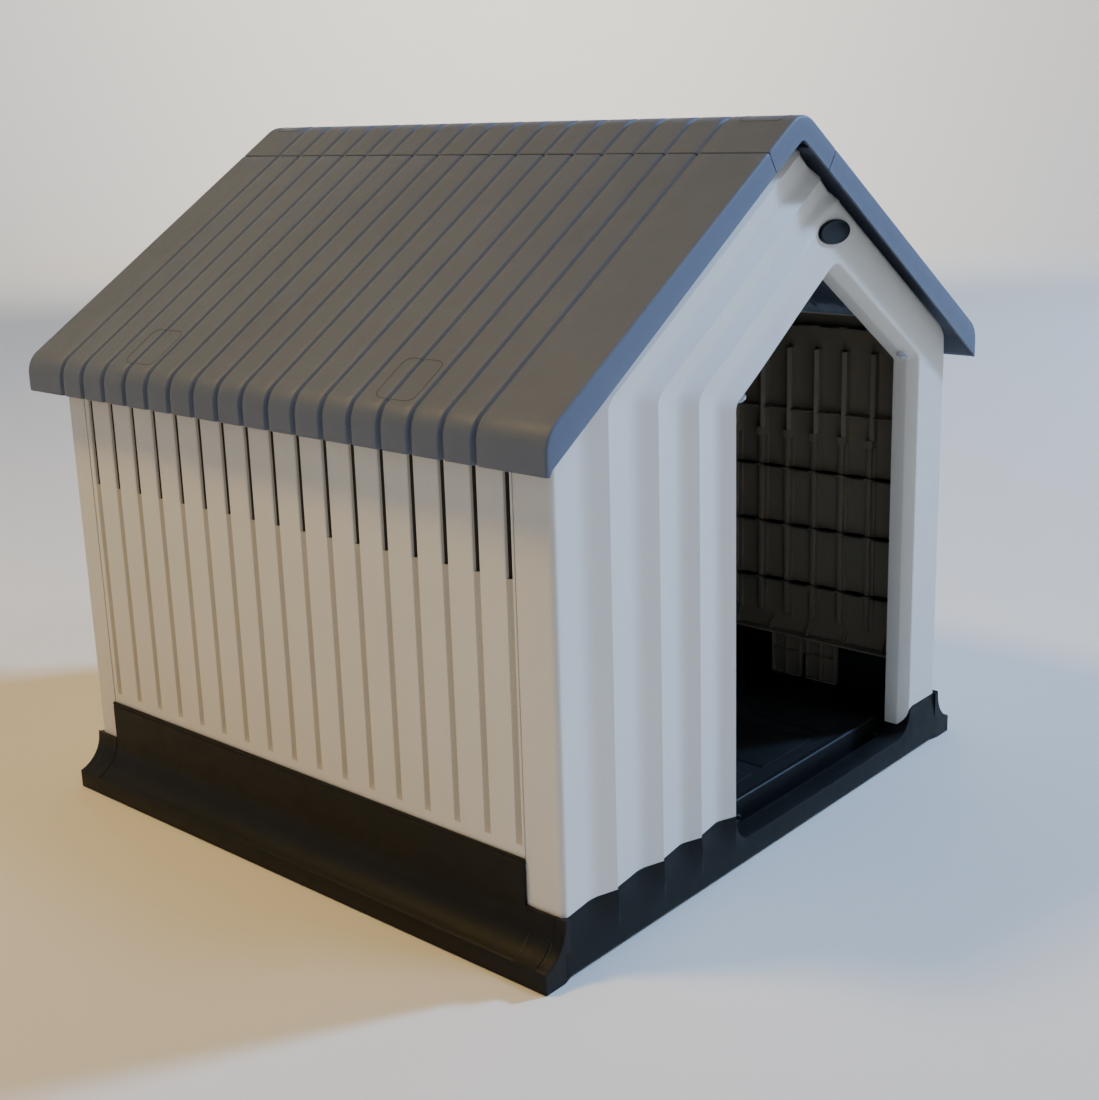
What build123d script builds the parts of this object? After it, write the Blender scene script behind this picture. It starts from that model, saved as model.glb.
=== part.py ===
from build123d import *
import math
import os

# Moulded plastic gabled kennel, snap-together panels.
# Frame: origin at the bottom centre of the whole kennel, +Z up, -Y is the doorway side,
# +X to the right seen from the doorway, +Y runs along the ridge to the back. Millimetres.

# ---------------- driving dimensions ----------------
WALL_HALF_W = 445.0        # outer face of side walls from the centre plane
WALL_HALF_L = 464.0        # outer face of front and back walls from the centre plane
SKIN = 5.0                 # wall panel skin
SLOPE = math.radians(33.5) # roof pitch
RIDGE_Z = 968.5            # height where the two outer roof planes would meet
RIDGE_R = 43.0             # rounding of the ridge
ROOF_HALF_L = 492.75       # half length of the roof
EAVE_X = 484.0             # outer face of the eave drop
EAVE_Z = 604.0             # bottom edge of the eave drop
EAVE_R = 37.0              # rounding from slope to eave drop
ROOF_SKIN = 4.0
SEAM_X = 76.0              # where the ridge cap meets the roof panels
FASCIA_D = 30.0            # depth of the end fascia at the seam, square to the slope
GROOVES = 17
ROOF_GROOVE_0 = -389.0     # first roof groove, along Y
ROOF_GROOVE_P = 49.7
SIDE_GROOVE_0 = -394.0     # first side wall groove, along Y
SIDE_GROOVE_P = 50.1
SLOT_W = 9.0
SLOT_Z0 = 470.0            # lower end of the ventilation slots
SLOT_THROUGH_Z0 = 545.0    # the slots go right through above this height
GROOVE_Z0 = 151.0          # lower end of the shallow grooves
WALL_Z0 = 50.0             # bottom edge of front and back walls, inside the tray
GABLE_Z = 943.0            # height where the two top edges of a gable wall would meet
GABLE_R = 60.0
FRONT_RETURN = 57.0        # corner return of the front wall
BACK_RETURN = 45.0         # corner return of the back wall
FASCIA_TOP = 77.0          # top edge of the tray's front and back fascia
SIDE_TOP = 136.0           # top edge of the tray's side upstands
TRAY_HALF_L = 469.0
TRAY_HALF_W = 449.0
FOOT_HALF_W = 485.5
LIP_H = 26.0
FLOOR_Z = 50.0
DOOR_CX = 128.0            # the doorway is off centre
DOOR_HALF = 235.0          # at the front face
DOOR_CH = 12.0             # chamfer across, the clear opening is this much smaller all round
DOOR_CH_D = 15.0
DOOR_DEPTH = 35.0          # depth of the reveal
DOOR_SHOULDER = 620.0
SILL_Z = 34.0
CRESTS = [(-352.0, 659.0), (-262.0, 653.0), (-183.0, 642.0)]  # x of each crest and height of its shoulder
T = math.tan(SLOPE)
C = math.cos(SLOPE)
S = math.sin(SLOPE)

os.makedirs("parts", exist_ok=True)


def face_of(start, segs, mp):
    """Closed planar face from a start point and segments: (u, v) is a line, (mid, end) an arc."""
    edges, p = [], start
    for s in list(segs) + [start]:
        if isinstance(s[0], tuple):
            edges.append(Edge.make_three_point_arc(mp(p), mp(s[0]), mp(s[1])))
            p = s[1]
        else:
            if abs(s[0] - p[0]) + abs(s[1] - p[1]) > 1e-6:
                edges.append(Edge.make_line(mp(p), mp(s)))
            p = s
    return Face(Wire(edges))


def along_y(start, segs, y0, y1):
    f = face_of(start, segs, lambda q: Vector(q[0], y0, q[1]))
    return extrude(f, amount=y1 - y0, dir=(0, 1, 0))


def along_x(start, segs, x0, x1):
    f = face_of(start, segs, lambda q: Vector(x0, q[0], q[1]))
    return extrude(f, amount=x1 - x0, dir=(1, 0, 0))


def box(x0, x1, y0, y1, z0, z1):
    return Pos((x0 + x1) / 2, (y0 + y1) / 2, (z0 + z1) / 2) * Box(abs(x1 - x0), abs(y1 - y0), abs(z1 - z0))


def flip_x(s):
    return mirror(s, about=Plane.YZ)


def flip_y(s):
    return mirror(s, about=Plane.XZ)


def rod_x(y, z, r, x0, x1):
    return Pos((x0 + x1) / 2, y, z) * (Rot(0, 90, 0) * Cylinder(r, abs(x1 - x0)))


# ---------------- base tray ----------------
def make_tray():
    w, fw = TRAY_HALF_W, FOOT_HALF_W
    t = 3.6
    ls, le = -WALL_HALF_L + FRONT_RETURN, WALL_HALF_L - BACK_RETURN
    # upstand, lower at both ends where the corner returns reach down
    up = box(w - t, w, -TRAY_HALF_L, TRAY_HALF_L, 10, 75)
    up += box(w - t, w, ls, le, 60, SIDE_TOP)
    # flared skirt with a vertical lip
    skirt = along_y((w - t, 84), [(w, 78), ((w + 9.5, 45), (fw, LIP_H)), (fw, 0), (fw - 4, 0), (fw - 4, LIP_H - 4),
                                  ((w + 6.0, 40), (w - t, 72))], -TRAY_HALF_L + 6, TRAY_HALF_L - 6)
    side = up + skirt
    for y in (-300, -150, 0, 150, 300):
        side += along_y((w - 1, 70), [(w + 7, 43), (fw - 3, 22), (fw - 3, 4), (w - 1, 10)], y - 1.5, y + 1.5)
    # closed ends of the skirts, set back behind the fascias
    for y in (-TRAY_HALF_L + 8, TRAY_HALF_L - 8):
        side += along_y((w - 1, 78), [(w, 78), ((w + 9.5, 45), (fw, LIP_H)), (fw, 0), (fw - 4, 0), (w - 1, 3)], y - 2, y + 2)
    tray = side + flip_x(side)
    # channel floor and raised sleeping floor
    tray += box(-w, w, -TRAY_HALF_L, TRAY_HALF_L, 10, 14)
    tray += box(-400, 400, -408, 430, 12, FLOOR_Z)
    tray -= box(-396, 396, -404, 426, 0, FLOOR_Z - 4)
    for x in (-240, -80, 80, 240):
        tray += box(x - 1.5, x + 1.5, -405, 427, 4, FLOOR_Z - 2)
    for y in (-240, -80, 80, 240):
        tray += box(-397, 397, y - 1.5, y + 1.5, 4, FLOOR_Z - 2)
    # front and back fascias with the ledge that each gable wall stands on
    for sgn in (-1, 1):
        f0, f1 = sgn * TRAY_HALF_L, sgn * (WALL_HALF_L + 0.4)
        tray += box(-w, w, f0, f1, 3, FASCIA_TOP if sgn > 0 else FASCIA_TOP)
        tray += box(-w, w, f0, sgn * (WALL_HALF_L - 28), WALL_Z0 - 4, WALL_Z0 - 0.2)
        tray += box(-w, w, sgn * (WALL_HALF_L - 28), sgn * (WALL_HALF_L - 24), 10, WALL_Z0 - 0.2)
    # recessed sill in the doorway, rounded at both ends
    xl, xr = DOOR_CX - DOOR_HALF + 2, DOOR_CX + DOOR_HALF - 2
    cut = along_y((xl, 120), [(xl, 62), ((xl + 7, 42), (xl + 26, SILL_Z)), (xr - 26, SILL_Z),
                              ((xr - 7, 42), (xr, 62)), (xr, 120)], -TRAY_HALF_L - 5, -WALL_HALF_L + 36)
    tray -= cut
    tray += box(xl + 20, xr - 20, -TRAY_HALF_L, -WALL_HALF_L + 33, SILL_Z - 4, SILL_Z)
    tray += box(xl + 20, xr - 20, -WALL_HALF_L + 29, -WALL_HALF_L + 33, 10, SILL_Z)
    return tray


# ---------------- gable walls ----------------
def gable_outline(z0, inset=0.0):
    """Outline of a gable wall, inset all round above z0."""
    x = WALL_HALF_W - inset
    g = GABLE_Z - inset / C
    r = GABLE_R
    zs = g - T * x
    # tangent points of the rounded apex
    tx = r * S
    tz = g - T * tx
    top = (g - r / C) + r
    sr = 16.0
    tl = sr * math.tan(math.radians(28.25))
    mid_a = math.radians(28.25)
    cx, cz = x - sr, zs - tl
    m = (cx + sr * math.cos(mid_a), cz + sr * math.sin(mid_a))
    p0, p1 = (x, zs - tl), (x - tl * C, zs + tl * S)
    return (x, z0), [p0, (m, p1), (tx, tz), ((0, top), (-tx, tz)), (-p1[0], p1[1]), ((-m[0], m[1]), (-p0[0], p0[1])),
                     (-x, z0)]


def door_pts(grow):
    """Corner points of the doorway, grown outwards by grow, open at the bottom."""
    h = DOOR_HALF - DOOR_CH + grow
    d0 = DOOR_HALF - DOOR_CH
    zs = DOOR_SHOULDER - DOOR_CH * (1 / C - T) + grow * (1 / C - T)
    return [(DOOR_CX - h, 0.0), (DOOR_CX - h, zs), (DOOR_CX, zs + T * h), (DOOR_CX + h, zs), (DOOR_CX + h, 0.0)]


def crest_strip(k, width, rise, z0, right_inset):
    """Raised strip along one nested crest line: up, round the shoulder, up the slope to the right contour."""
    xk, zk = CRESTS[k]
    g = GABLE_Z - right_inset / C

    def meet(x, z):
        xm = (g - z + T * x) / (2 * T)
        return xm, g - T * xm
    a = [(xk, z0), (xk, zk), meet(xk, zk)]
    xo, zo = xk - width, zk + width * (1 / C - T) * 0.75
    b = [(xo, z0), (xo, zo), meet(xo, zo)]
    pts = a + b[::-1]
    return along_y(pts[0], pts[1:], -WALL_HALF_L - rise, -WALL_HALF_L + 1)


def make_gable(with_door, ret):
    y = -WALL_HALF_L
    s0, seg = gable_outline(WALL_Z0)
    wall = along_y(s0, seg, y, y + 20)
    s1, seg1 = gable_outline(WALL_Z0 - 10, SKIN)
    wall -= along_y(s1, seg1, y + SKIN, y + 30)
    # corner returns
    top = GABLE_Z - T * WALL_HALF_W - 12
    for sg in (-1, 1):
        wall += box(sg * WALL_HALF_W, sg * (WALL_HALF_W - SKIN), y, y + ret - 0.4, WALL_Z0 + 10, top - 30)
        wall += box(sg * (WALL_HALF_W - SKIN - 0.4), sg * (WALL_HALF_W - SKIN - 3.4), y + SKIN - 1, y + ret + 3, 150, 560)
        wall += box(sg * (WALL_HALF_W - SKIN + 0.5), sg * (WALL_HALF_W - SKIN - 3.4), y + SKIN - 1, y + ret - 8, 150, 560)
    # ribs behind the panel
    for z in (160, 290, 420, 550):
        wall += box(-WALL_HALF_W + 4, WALL_HALF_W - 4, y + 4, y + 11, z - 1.5, z + 1.5)
    wall += along_y((-200, 700), [(200, 700), (200, 703), (-200, 703)], y + 4, y + 11)
    # nested crests, each a low ramp with a step on the doorway side
    for k in range(3):
        wall += crest_strip(k, 30, 1.3, FASCIA_TOP + 1, 14)
        wall += crest_strip(k, 18, 2.7, FASCIA_TOP + 1, 14)
        wall += crest_strip(k, 9, 4.0, FASCIA_TOP + 1, 14)
    if with_door:
        def ring(grow, y0, y1):
            p = door_pts(grow)
            p[0] = (p[0][0], WALL_Z0)
            p[-1] = (p[-1][0], WALL_Z0)
            return along_y(p[0], p[1:], y0, y1)
        wall += ring(DOOR_CH + SKIN, y, y + DOOR_CH_D + 4)
        wall += ring(SKIN, y, y + DOOR_DEPTH)
        p0, p1 = door_pts(DOOR_CH + 0.8), door_pts(0)
        f0 = face_of(p0[0], p0[1:], lambda q: Vector(q[0], y - 1, q[1]))
        f1 = face_of(p1[0], p1[1:], lambda q: Vector(q[0], y + DOOR_CH_D, q[1]))
        wall -= loft([f0, f1], ruled=True)
        wall -= along_y(p1[0], p1[1:], y - 10, y + 60)
    return wall


# ---------------- side walls ----------------
def make_side():
    """Right side wall, outer face at +X."""
    xo = WALL_HALF_W
    y0, y1 = -WALL_HALF_L + FRONT_RETURN + 0.2, WALL_HALF_L - BACK_RETURN - 0.2
    w = box(xo - SKIN, xo, y0, y1, 124, 632)
    for a, b in ((y0 + 27, y0 + 123), (-48, 48), (y1 - 123, y1 - 27)):
        w += box(xo - SKIN, xo, a, b, 600, 660)
    # bottom flange, clip tabs and horizontal ribs on the inside
    w += box(xo - 18, xo - 2, y0 + 16, y1 - 16, 124, 127)
    for z in (214, 311, 406, 503):
        w += box(xo - 13, xo - 2, y0 + 16, y1 - 16, z - 1.5, z + 1.5)
    ys = [SIDE_GROOVE_0 + SIDE_GROOVE_P * i for i in range(GROOVES)]
    for i, y in enumerate(ys):
        a, b = max(y - 8, y0 + 0.5), min(y + 8, y1 - 0.5)
        w += box(xo - 13, xo - 1, a, b, 134, 618)
    for yc in (-234, 234):
        w += box(xo - 15, xo - 12, yc - 61, yc + 61, 54, 126)
        for k in range(5):
            yy = yc - 58 + 29 * k
            w += box(xo - 20, xo - 14, yy - 1.5, yy + 1.5, 58, 126)
        for z in (70, 90, 108):
            w += box(xo - 18, xo - 14, yc - 60, yc + 60, z - 1.5, z + 1.5)
    for y in ys:
        # shallow groove with a rounded end, then the deep slot above it
        w -= box(xo - 4, xo + 1, y - SLOT_W / 2, y + SLOT_W / 2, GROOVE_Z0 + SLOT_W / 2, 604)
        w -= rod_x(y, GROOVE_Z0 + SLOT_W / 2, SLOT_W / 2, xo - 4, xo + 1)
        w -= box(xo - 10, xo + 1, y - SLOT_W / 2, y + SLOT_W / 2, SLOT_Z0 + SLOT_W / 2, 604)
        w -= rod_x(y, SLOT_Z0 + SLOT_W / 2, SLOT_W / 2, xo - 10, xo + 1)
        w -= box(xo - 20, xo + 1, y - 2.75, y + 2.75, SLOT_THROUGH_Z0, 602)
        w -= rod_x(y, SLOT_THROUGH_Z0, 2.75, xo - 20, xo + 1)
    return w


# ---------------- roof ----------------
def slope_pt(x, d):
    """Point on the right-hand roof plane above x, moved d square to it towards the inside."""
    return (x - d * S, RIDGE_Z - T * x - d * C)


TL = EAVE_R * math.tan(math.radians(28.25))
CORNER_Z = RIDGE_Z - T * EAVE_X
T1_X = EAVE_X - TL * C


def roof_profile(d):
    """Outer roof line offset inwards by d: seam, slope end, arc middle, arc end, eave edge."""
    c = (EAVE_X - EAVE_R, CORNER_Z - TL)
    r = EAVE_R - d
    a = math.radians(28.25)
    return [slope_pt(SEAM_X, d), slope_pt(T1_X, d), (c[0] + r * math.cos(a), c[1] + r * math.sin(a)),
            (EAVE_X - d, c[1]), (EAVE_X - d, EAVE_Z)]


def band(d0, d1, y0, y1, start=None):
    """Solid between two offsets of the roof line."""
    o, i = roof_profile(d0), roof_profile(d1)
    return along_y(o[0], [o[1], (o[2], o[3]), o[4], i[4], i[3], (i[2], i[1]), i[0]], y0, y1)


def make_roof():
    """Right roof panel."""
    L = ROOF_HALF_L
    r = band(0, ROOF_SKIN, -L, L)
    o = roof_profile(0)
    inner = slope_pt(SEAM_X, FASCIA_D)
    for sg in (-1, 1):
        f = along_y(o[0], [o[1], (o[2], o[3]), o[4], (EAVE_X - 3, EAVE_Z), inner], min(sg * L, sg * (L - 4)), max(sg * L, sg * (L - 4)))
        r += f
        # seat rib over the top edge of the gable wall
        a, b = slope_pt(SEAM_X + 8, 3), slope_pt(436, 3)
        g = GABLE_Z + 0.3
        rib = [a, b, (b[0], g - T * b[0]), (a[0], g - T * a[0])]
        y0, y1 = sorted((sg * (WALL_HALF_L - 8), sg * (WALL_HALF_L - 12)))
        r += along_y(rib[0], rib[1:], y0, y1)
    for y in (-240, 0, 240):
        p = [slope_pt(SEAM_X + 6, 3), slope_pt(432, 3), slope_pt(420, 18), slope_pt(SEAM_X + 6, 18)]
        r += along_y(p[0], p[1:], y - 1.5, y + 1.5)
    # landing flange under the ridge cap
    p = [slope_pt(SEAM_X + 10, ROOF_SKIN - 0.6), slope_pt(SEAM_X + 1, ROOF_SKIN - 0.6), slope_pt(SEAM_X - 0.5, ROOF_SKIN + 0.4),
         slope_pt(SEAM_X - 26, ROOF_SKIN + 0.4), slope_pt(SEAM_X - 26, ROOF_SKIN + 3.4), slope_pt(SEAM_X + 10, ROOF_SKIN + 3.4)]
    r += along_y(p[0], p[1:], -L + 6, L - 6)
    # plain locating tongues that drop inside the side wall
    for y in (-330, 0, 330):
        yy = y + 22
        zt = RIDGE_Z - T * 424 - 4
        r += along_y((421, zt + 2), [(425, zt), (425, 600), (423.5, 592), (422.5, 592), (421, 600)], yy - 25, yy + 25)
    # cross grooves
    for i in range(GROOVES):
        y = ROOF_GROOVE_0 + ROOF_GROOVE_P * i
        r -= band(-1, 1.2, y - 4, y + 4)
        r -= band(-1, 2.6, y - 2, y + 2)
    return r


def make_cap():
    L = ROOF_HALF_L

    def lay(d):
        e = slope_pt(SEAM_X - 0.25 / C, d)
        rr = RIDGE_R - d
        cz = RIDGE_Z - RIDGE_R / C
        t = (rr * S, cz + rr * C)
        return e, t, (0, cz + rr)
    e0, t0, a0 = lay(0)
    e1, t1, a1 = lay(ROOF_SKIN)
    n = lambda p: (-p[0], p[1])
    cap = along_y(e0, [t0, (a0, n(t0)), n(e0), n(e1), n(t1), (a1, t1), e1], -L, L)
    e2 = slope_pt(SEAM_X - 0.25 / C, FASCIA_D)
    t2 = (16, e2[1] + T * (e2[0] - 16))
    a2 = (0, t2[1] + 5.5)
    for sg in (-1, 1):
        y0, y1 = sorted((sg * L, sg * (L - 4)))
        cap += along_y(e0, [t0, (a0, n(t0)), n(e0), n(e2), n(t2), (a2, t2), e2], y0, y1)
    for y in (-330, 0, 330):
        for sg in (-1, 1):
            x0, x1 = sorted((sg * 36, sg * 40))
            cap += box(x0, x1, y - 30, y + 30, 880, RIDGE_Z - T * 40 - 3.5)
    for y in (-240, 240):
        p = [slope_pt(44, 3), (0, a1[1] + 0.5), n(slope_pt(44, 3)), n(slope_pt(40, 14)), (0, a1[1] - 14), slope_pt(40, 14)]
        cap += along_y(p[0], p[1:], y - 1.5, y + 1.5)
    for i in range(GROOVES):
        y = ROOF_GROOVE_0 + ROOF_GROOVE_P * i
        for d, h in ((1.2, 4), (2.6, 2)):
            ed, td, ad = lay(d)
            eo, to, ao = lay(-1)
            cap -= along_y(eo, [to, (ao, n(to)), n(eo), n(ed), n(td), (ad, td), ed], y - h, y + h)
    return cap


# ---------------- small pieces ----------------
def make_badge():
    """Blank oval badge under the apex."""
    cx, cz = 119.0, 812.0
    y = -WALL_HALF_L
    pl = Plane(origin=(cx, y - 0.1, cz), x_dir=(1, 0, 0), z_dir=(0, -1, 0))
    b = extrude(pl * Ellipse(37, 16), amount=3.0)
    b = fillet(b.edges().group_by(Axis.Y)[0], 1.6)
    return b


def make_stud(sg):
    """Mushroom-headed stud on the door reveal, near the shoulder."""
    h = DOOR_HALF - DOOR_CH
    zs = DOOR_SHOULDER - DOOR_CH * (1 / C - T)
    # on the sloped reveal, a little above the shoulder, standing square to it
    px, pz = DOOR_CX + sg * (h - 15 * C), zs + 15 * S
    y = -WALL_HALF_L + 27
    nx, nz = -sg * S, -C
    pl = Plane(origin=(px + nx * 0.2, y, pz + nz * 0.2), z_dir=(nx, 0, nz))
    s = extrude(pl * Circle(3.2), amount=5.2)
    pl2 = Plane(origin=(px + nx * 5.0, y, pz + nz * 5.0), z_dir=(nx, 0, nz))
    head = extrude(pl2 * Circle(8.0), amount=3.4)
    return s + head


def make_pins():
    out = []
    y0 = -WALL_HALF_L
    for x, yy in ((-42.0, y0 + 42), (-26.0, y0 + 49), (336.0, y0 + 42), (352.0, y0 + 51)):
        p = Pos(x, yy, 14.2 + 8.0) * Cylinder(2.5, 16.0)
        p += Pos(x, yy, 14.2 + 17.0) * Cylinder(4.0, 2.4)
        out.append(p)
    return out


tray = make_tray()
front = make_gable(True, FRONT_RETURN)
back = flip_y(make_gable(False, BACK_RETURN))
right = make_side()
left = flip_x(right)
roof_r = make_roof()
roof_l = flip_x(roof_r)
cap = make_cap()
parts = {
    "base_tray": tray,
    "front_wall": front,
    "back_wall": back,
    "left_side_wall": left,
    "right_side_wall": right,
    "left_roof_panel": roof_l,
    "right_roof_panel": roof_r,
    "ridge_cap": cap,
    "front_badge": make_badge(),
    "doorway_studs": Compound(children=[make_stud(-1), make_stud(1)]),
    "sill_push_pins": Compound(children=make_pins()),
}
for name, shape in parts.items():
    export_step(shape, "parts/" + name + ".step")
    bb = shape.bounding_box()
    print(name, len(shape.solids()), "vol", round(shape.volume), "x", round(bb.min.X, 1), round(bb.max.X, 1),
          "y", round(bb.min.Y, 1), round(bb.max.Y, 1), "z", round(bb.min.Z, 1), round(bb.max.Z, 1))
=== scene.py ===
import math

import bmesh
import bpy
import numpy as np
from mathutils import Matrix, Vector
from mathutils.geometry import delaunay_2d_cdt


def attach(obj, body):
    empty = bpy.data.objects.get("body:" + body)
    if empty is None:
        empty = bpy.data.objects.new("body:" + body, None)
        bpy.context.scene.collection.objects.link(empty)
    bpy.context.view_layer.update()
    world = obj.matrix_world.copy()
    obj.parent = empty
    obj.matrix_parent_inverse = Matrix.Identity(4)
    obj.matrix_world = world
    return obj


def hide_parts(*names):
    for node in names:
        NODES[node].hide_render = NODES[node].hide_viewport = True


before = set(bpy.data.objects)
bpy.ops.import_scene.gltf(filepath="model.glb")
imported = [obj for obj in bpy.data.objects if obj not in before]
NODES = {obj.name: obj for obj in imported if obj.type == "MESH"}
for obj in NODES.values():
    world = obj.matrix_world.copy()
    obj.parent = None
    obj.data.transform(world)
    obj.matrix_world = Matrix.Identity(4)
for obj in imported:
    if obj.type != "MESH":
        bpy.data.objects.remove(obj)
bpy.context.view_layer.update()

# ------------------------------------------------------------------ dimensions, millimetres
T = math.tan(math.radians(33.5))
C = math.cos(math.radians(33.5))
S = math.sin(math.radians(33.5))
WX, YF, YB = 445.0, -464.0, 464.0
GABLE_Z = 943.0
RIDGE_Z, RIDGE_R = 968.5, 43.0
EAVE_X, EAVE_Z, EAVE_R = 484.0, 604.0, 37.0
SEAM_X, FASCIA = 76.0, 30.0
ROOF_L = 492.75
TRAY_W, TRAY_L, FOOT_W, LIP_H = 449.0, 469.0, 485.5, 26.0
SIDE_TOP, FASCIA_TOP = 136.0, 77.0
DOOR_CX, DOOR_H, DOOR_SH = 128.0, 235.0, 620.0
GROOVE_Y = [-389.0 + 49.7 * i for i in range(17)]
SLOT_Y = [-394.0 + 50.1 * i for i in range(17)]


# ------------------------------------------------------------------ materials
def node(nt, kind, x=0, y=0, **kw):
    n = nt.nodes.new(kind)
    n.location = (x, y)
    for k, v in kw.items():
        setattr(n, k, v)
    return n


def plastic(name, color, rough, grain=0.25, grain_scale=900.0, mottle=0.05, dust=0.0, dust_color=(0.5, 0.48, 0.44),
            edge=0.0, spec=0.5, streak=0.0, sheen_rough=0.06):
    """Moulded plastic: fine eroded grain, slow colour drift, flow streaks, settled dust and rubbed edges."""
    m = bpy.data.materials.new(name)
    m.use_nodes = True
    nt = m.node_tree
    for n in list(nt.nodes):
        nt.nodes.remove(n)
    out = node(nt, "ShaderNodeOutputMaterial", 900, 0)
    b = node(nt, "ShaderNodeBsdfPrincipled", 600, 0)
    nt.links.new(b.outputs[0], out.inputs[0])
    b.inputs["Specular IOR Level"].default_value = spec
    tc = node(nt, "ShaderNodeTexCoord", -1400, 0)
    co = tc.outputs["Object"]

    def noise(scale, detail=3.0, rough_=0.5, stretch=None, x=-900, y=0):
        src = co
        if stretch:
            mp = node(nt, "ShaderNodeMapping", x - 220, y)
            mp.inputs["Scale"].default_value = stretch
            nt.links.new(co, mp.inputs["Vector"])
            src = mp.outputs[0]
        n = node(nt, "ShaderNodeTexNoise", x, y)
        n.inputs["Scale"].default_value = scale
        n.inputs["Detail"].default_value = detail
        n.inputs["Roughness"].default_value = rough_
        nt.links.new(src, n.inputs["Vector"])
        return n.outputs["Fac"]

    def ramp(fac, lo, hi, a=0.0, z=1.0, x=-600, y=0):
        r = node(nt, "ShaderNodeMapRange", x, y)
        r.inputs["From Min"].default_value = lo
        r.inputs["From Max"].default_value = hi
        r.inputs["To Min"].default_value = a
        r.inputs["To Max"].default_value = z
        nt.links.new(fac, r.inputs["Value"])
        return r.outputs[0]

    def mix(fac, a, c, x=0, y=0):
        mx = node(nt, "ShaderNodeMix", x, y, data_type="RGBA")
        if isinstance(fac, float):
            mx.inputs[0].default_value = fac
        else:
            nt.links.new(fac, mx.inputs[0])
        for sock, v in ((mx.inputs[6], a), (mx.inputs[7], c)):
            if isinstance(v, tuple):
                sock.default_value = (*v, 1.0)
            else:
                nt.links.new(v, sock)
        return mx.outputs[2]

    dark = tuple(v * (1 - mottle * 2) for v in color)
    light = tuple(min(1.0, v * (1 + mottle)) for v in color)
    big = ramp(noise(4.5, 4.0, 0.55, y=300), 0.32, 0.70, y=300)
    col = mix(big, dark, light, -300, 300)
    fleck = ramp(noise(420.0, 2.0, 0.6, y=150), 0.42, 0.62, y=150)
    col = mix(fleck, col, tuple(v * (1 - mottle * 1.2) for v in color), -100, 250)
    if streak:
        st = ramp(noise(7.0, 3.0, 0.5, stretch=(14.0, 14.0, 1.0), y=0), 0.48, 0.72, 0.0, streak, y=0)
        col = mix(st, col, tuple(v * 0.86 for v in color), 50, 200)
    if dust:
        geo = node(nt, "ShaderNodeNewGeometry", -1200, -250)
        sx = node(nt, "ShaderNodeSeparateXYZ", -1000, -250)
        nt.links.new(geo.outputs["Normal"], sx.inputs[0])
        up = ramp(sx.outputs["Z"], 0.25, 0.95, 0.0, 1.0, y=-250)
        patch = ramp(noise(16.0, 6.0, 0.65, y=-400), 0.40, 0.72, 0.15, 1.0, y=-400)
        mul = node(nt, "ShaderNodeMath", -400, -300, operation="MULTIPLY")
        nt.links.new(up, mul.inputs[0])
        nt.links.new(patch, mul.inputs[1])
        mul2 = node(nt, "ShaderNodeMath", -250, -300, operation="MULTIPLY")
        nt.links.new(mul.outputs[0], mul2.inputs[0])
        mul2.inputs[1].default_value = dust
        col = mix(mul2.outputs[0], col, dust_color, 150, 150)
    if edge:
        geo2 = node(nt, "ShaderNodeNewGeometry", -1200, -600)
        pt = ramp(geo2.outputs["Pointiness"], 0.53, 0.62, 0.0, edge, y=-600)
        wn = ramp(noise(60.0, 5.0, 0.7, y=-750), 0.35, 0.7, 0.2, 1.0, y=-750)
        me = node(nt, "ShaderNodeMath", -300, -650, operation="MULTIPLY")
        nt.links.new(pt, me.inputs[0])
        nt.links.new(wn, me.inputs[1])
        col = mix(me.outputs[0], col, tuple(min(1.0, v * 1.7 + 0.02) for v in color), 300, 100)
    nt.links.new(col, b.inputs["Base Color"])
    rn = ramp(noise(38.0, 5.0, 0.6, y=-900), 0.3, 0.7, max(0.05, rough - sheen_rough), min(1.0, rough + sheen_rough), y=-900)
    nt.links.new(rn, b.inputs["Roughness"])
    g1 = noise(grain_scale, 2.0, 0.5, y=-1100)
    g2 = noise(grain_scale * 0.18, 3.0, 0.5, y=-1250)
    add = node(nt, "ShaderNodeMath", -500, -1150, operation="ADD")
    nt.links.new(g1, add.inputs[0])
    nt.links.new(g2, add.inputs[1])
    bp = node(nt, "ShaderNodeBump", 300, -600)
    bp.inputs["Strength"].default_value = grain
    bp.inputs["Distance"].default_value = 0.0004
    nt.links.new(add.outputs[0], bp.inputs["Height"])
    nt.links.new(bp.outputs[0], b.inputs["Normal"])
    return m


M_WALL = plastic("wall_plastic", (0.70, 0.655, 0.575), 0.46, grain=0.16, mottle=0.025, streak=0.10, dust=0.03,
                 dust_color=(0.42, 0.39, 0.34), spec=0.45)
M_ROOF = plastic("roof_plastic", (0.108, 0.125, 0.165), 0.52, grain=0.30, mottle=0.05, dust=0.08,
                 dust_color=(0.26, 0.25, 0.23), edge=0.25, spec=0.35)
M_TRAY = plastic("tray_plastic", (0.0098, 0.0094, 0.0084), 0.48, grain=0.30, mottle=0.08, dust=0.03,
                 dust_color=(0.10, 0.097, 0.088), edge=0.3, spec=0.16)
# darker brown copy of the off-white wall plastic for the inside faces and ribs: painted shade for the shaded inside of
# the house, plus settled dust
M_WALL_IN_SHADE = plastic("wall_plastic_inner_painted_shade", (0.25, 0.205, 0.14), 0.60, grain=0.25, mottle=0.04, streak=0.12, dust=0.15,
                    dust_color=(0.22, 0.19, 0.15), spec=0.3)
# near-black brown plastic on the deep slot faces: painted shade in the slots
M_SLOT_SHADE = plastic("slot_painted_shade", (0.060, 0.048, 0.034), 0.7, grain=0.2, mottle=0.1, spec=0.2)
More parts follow.
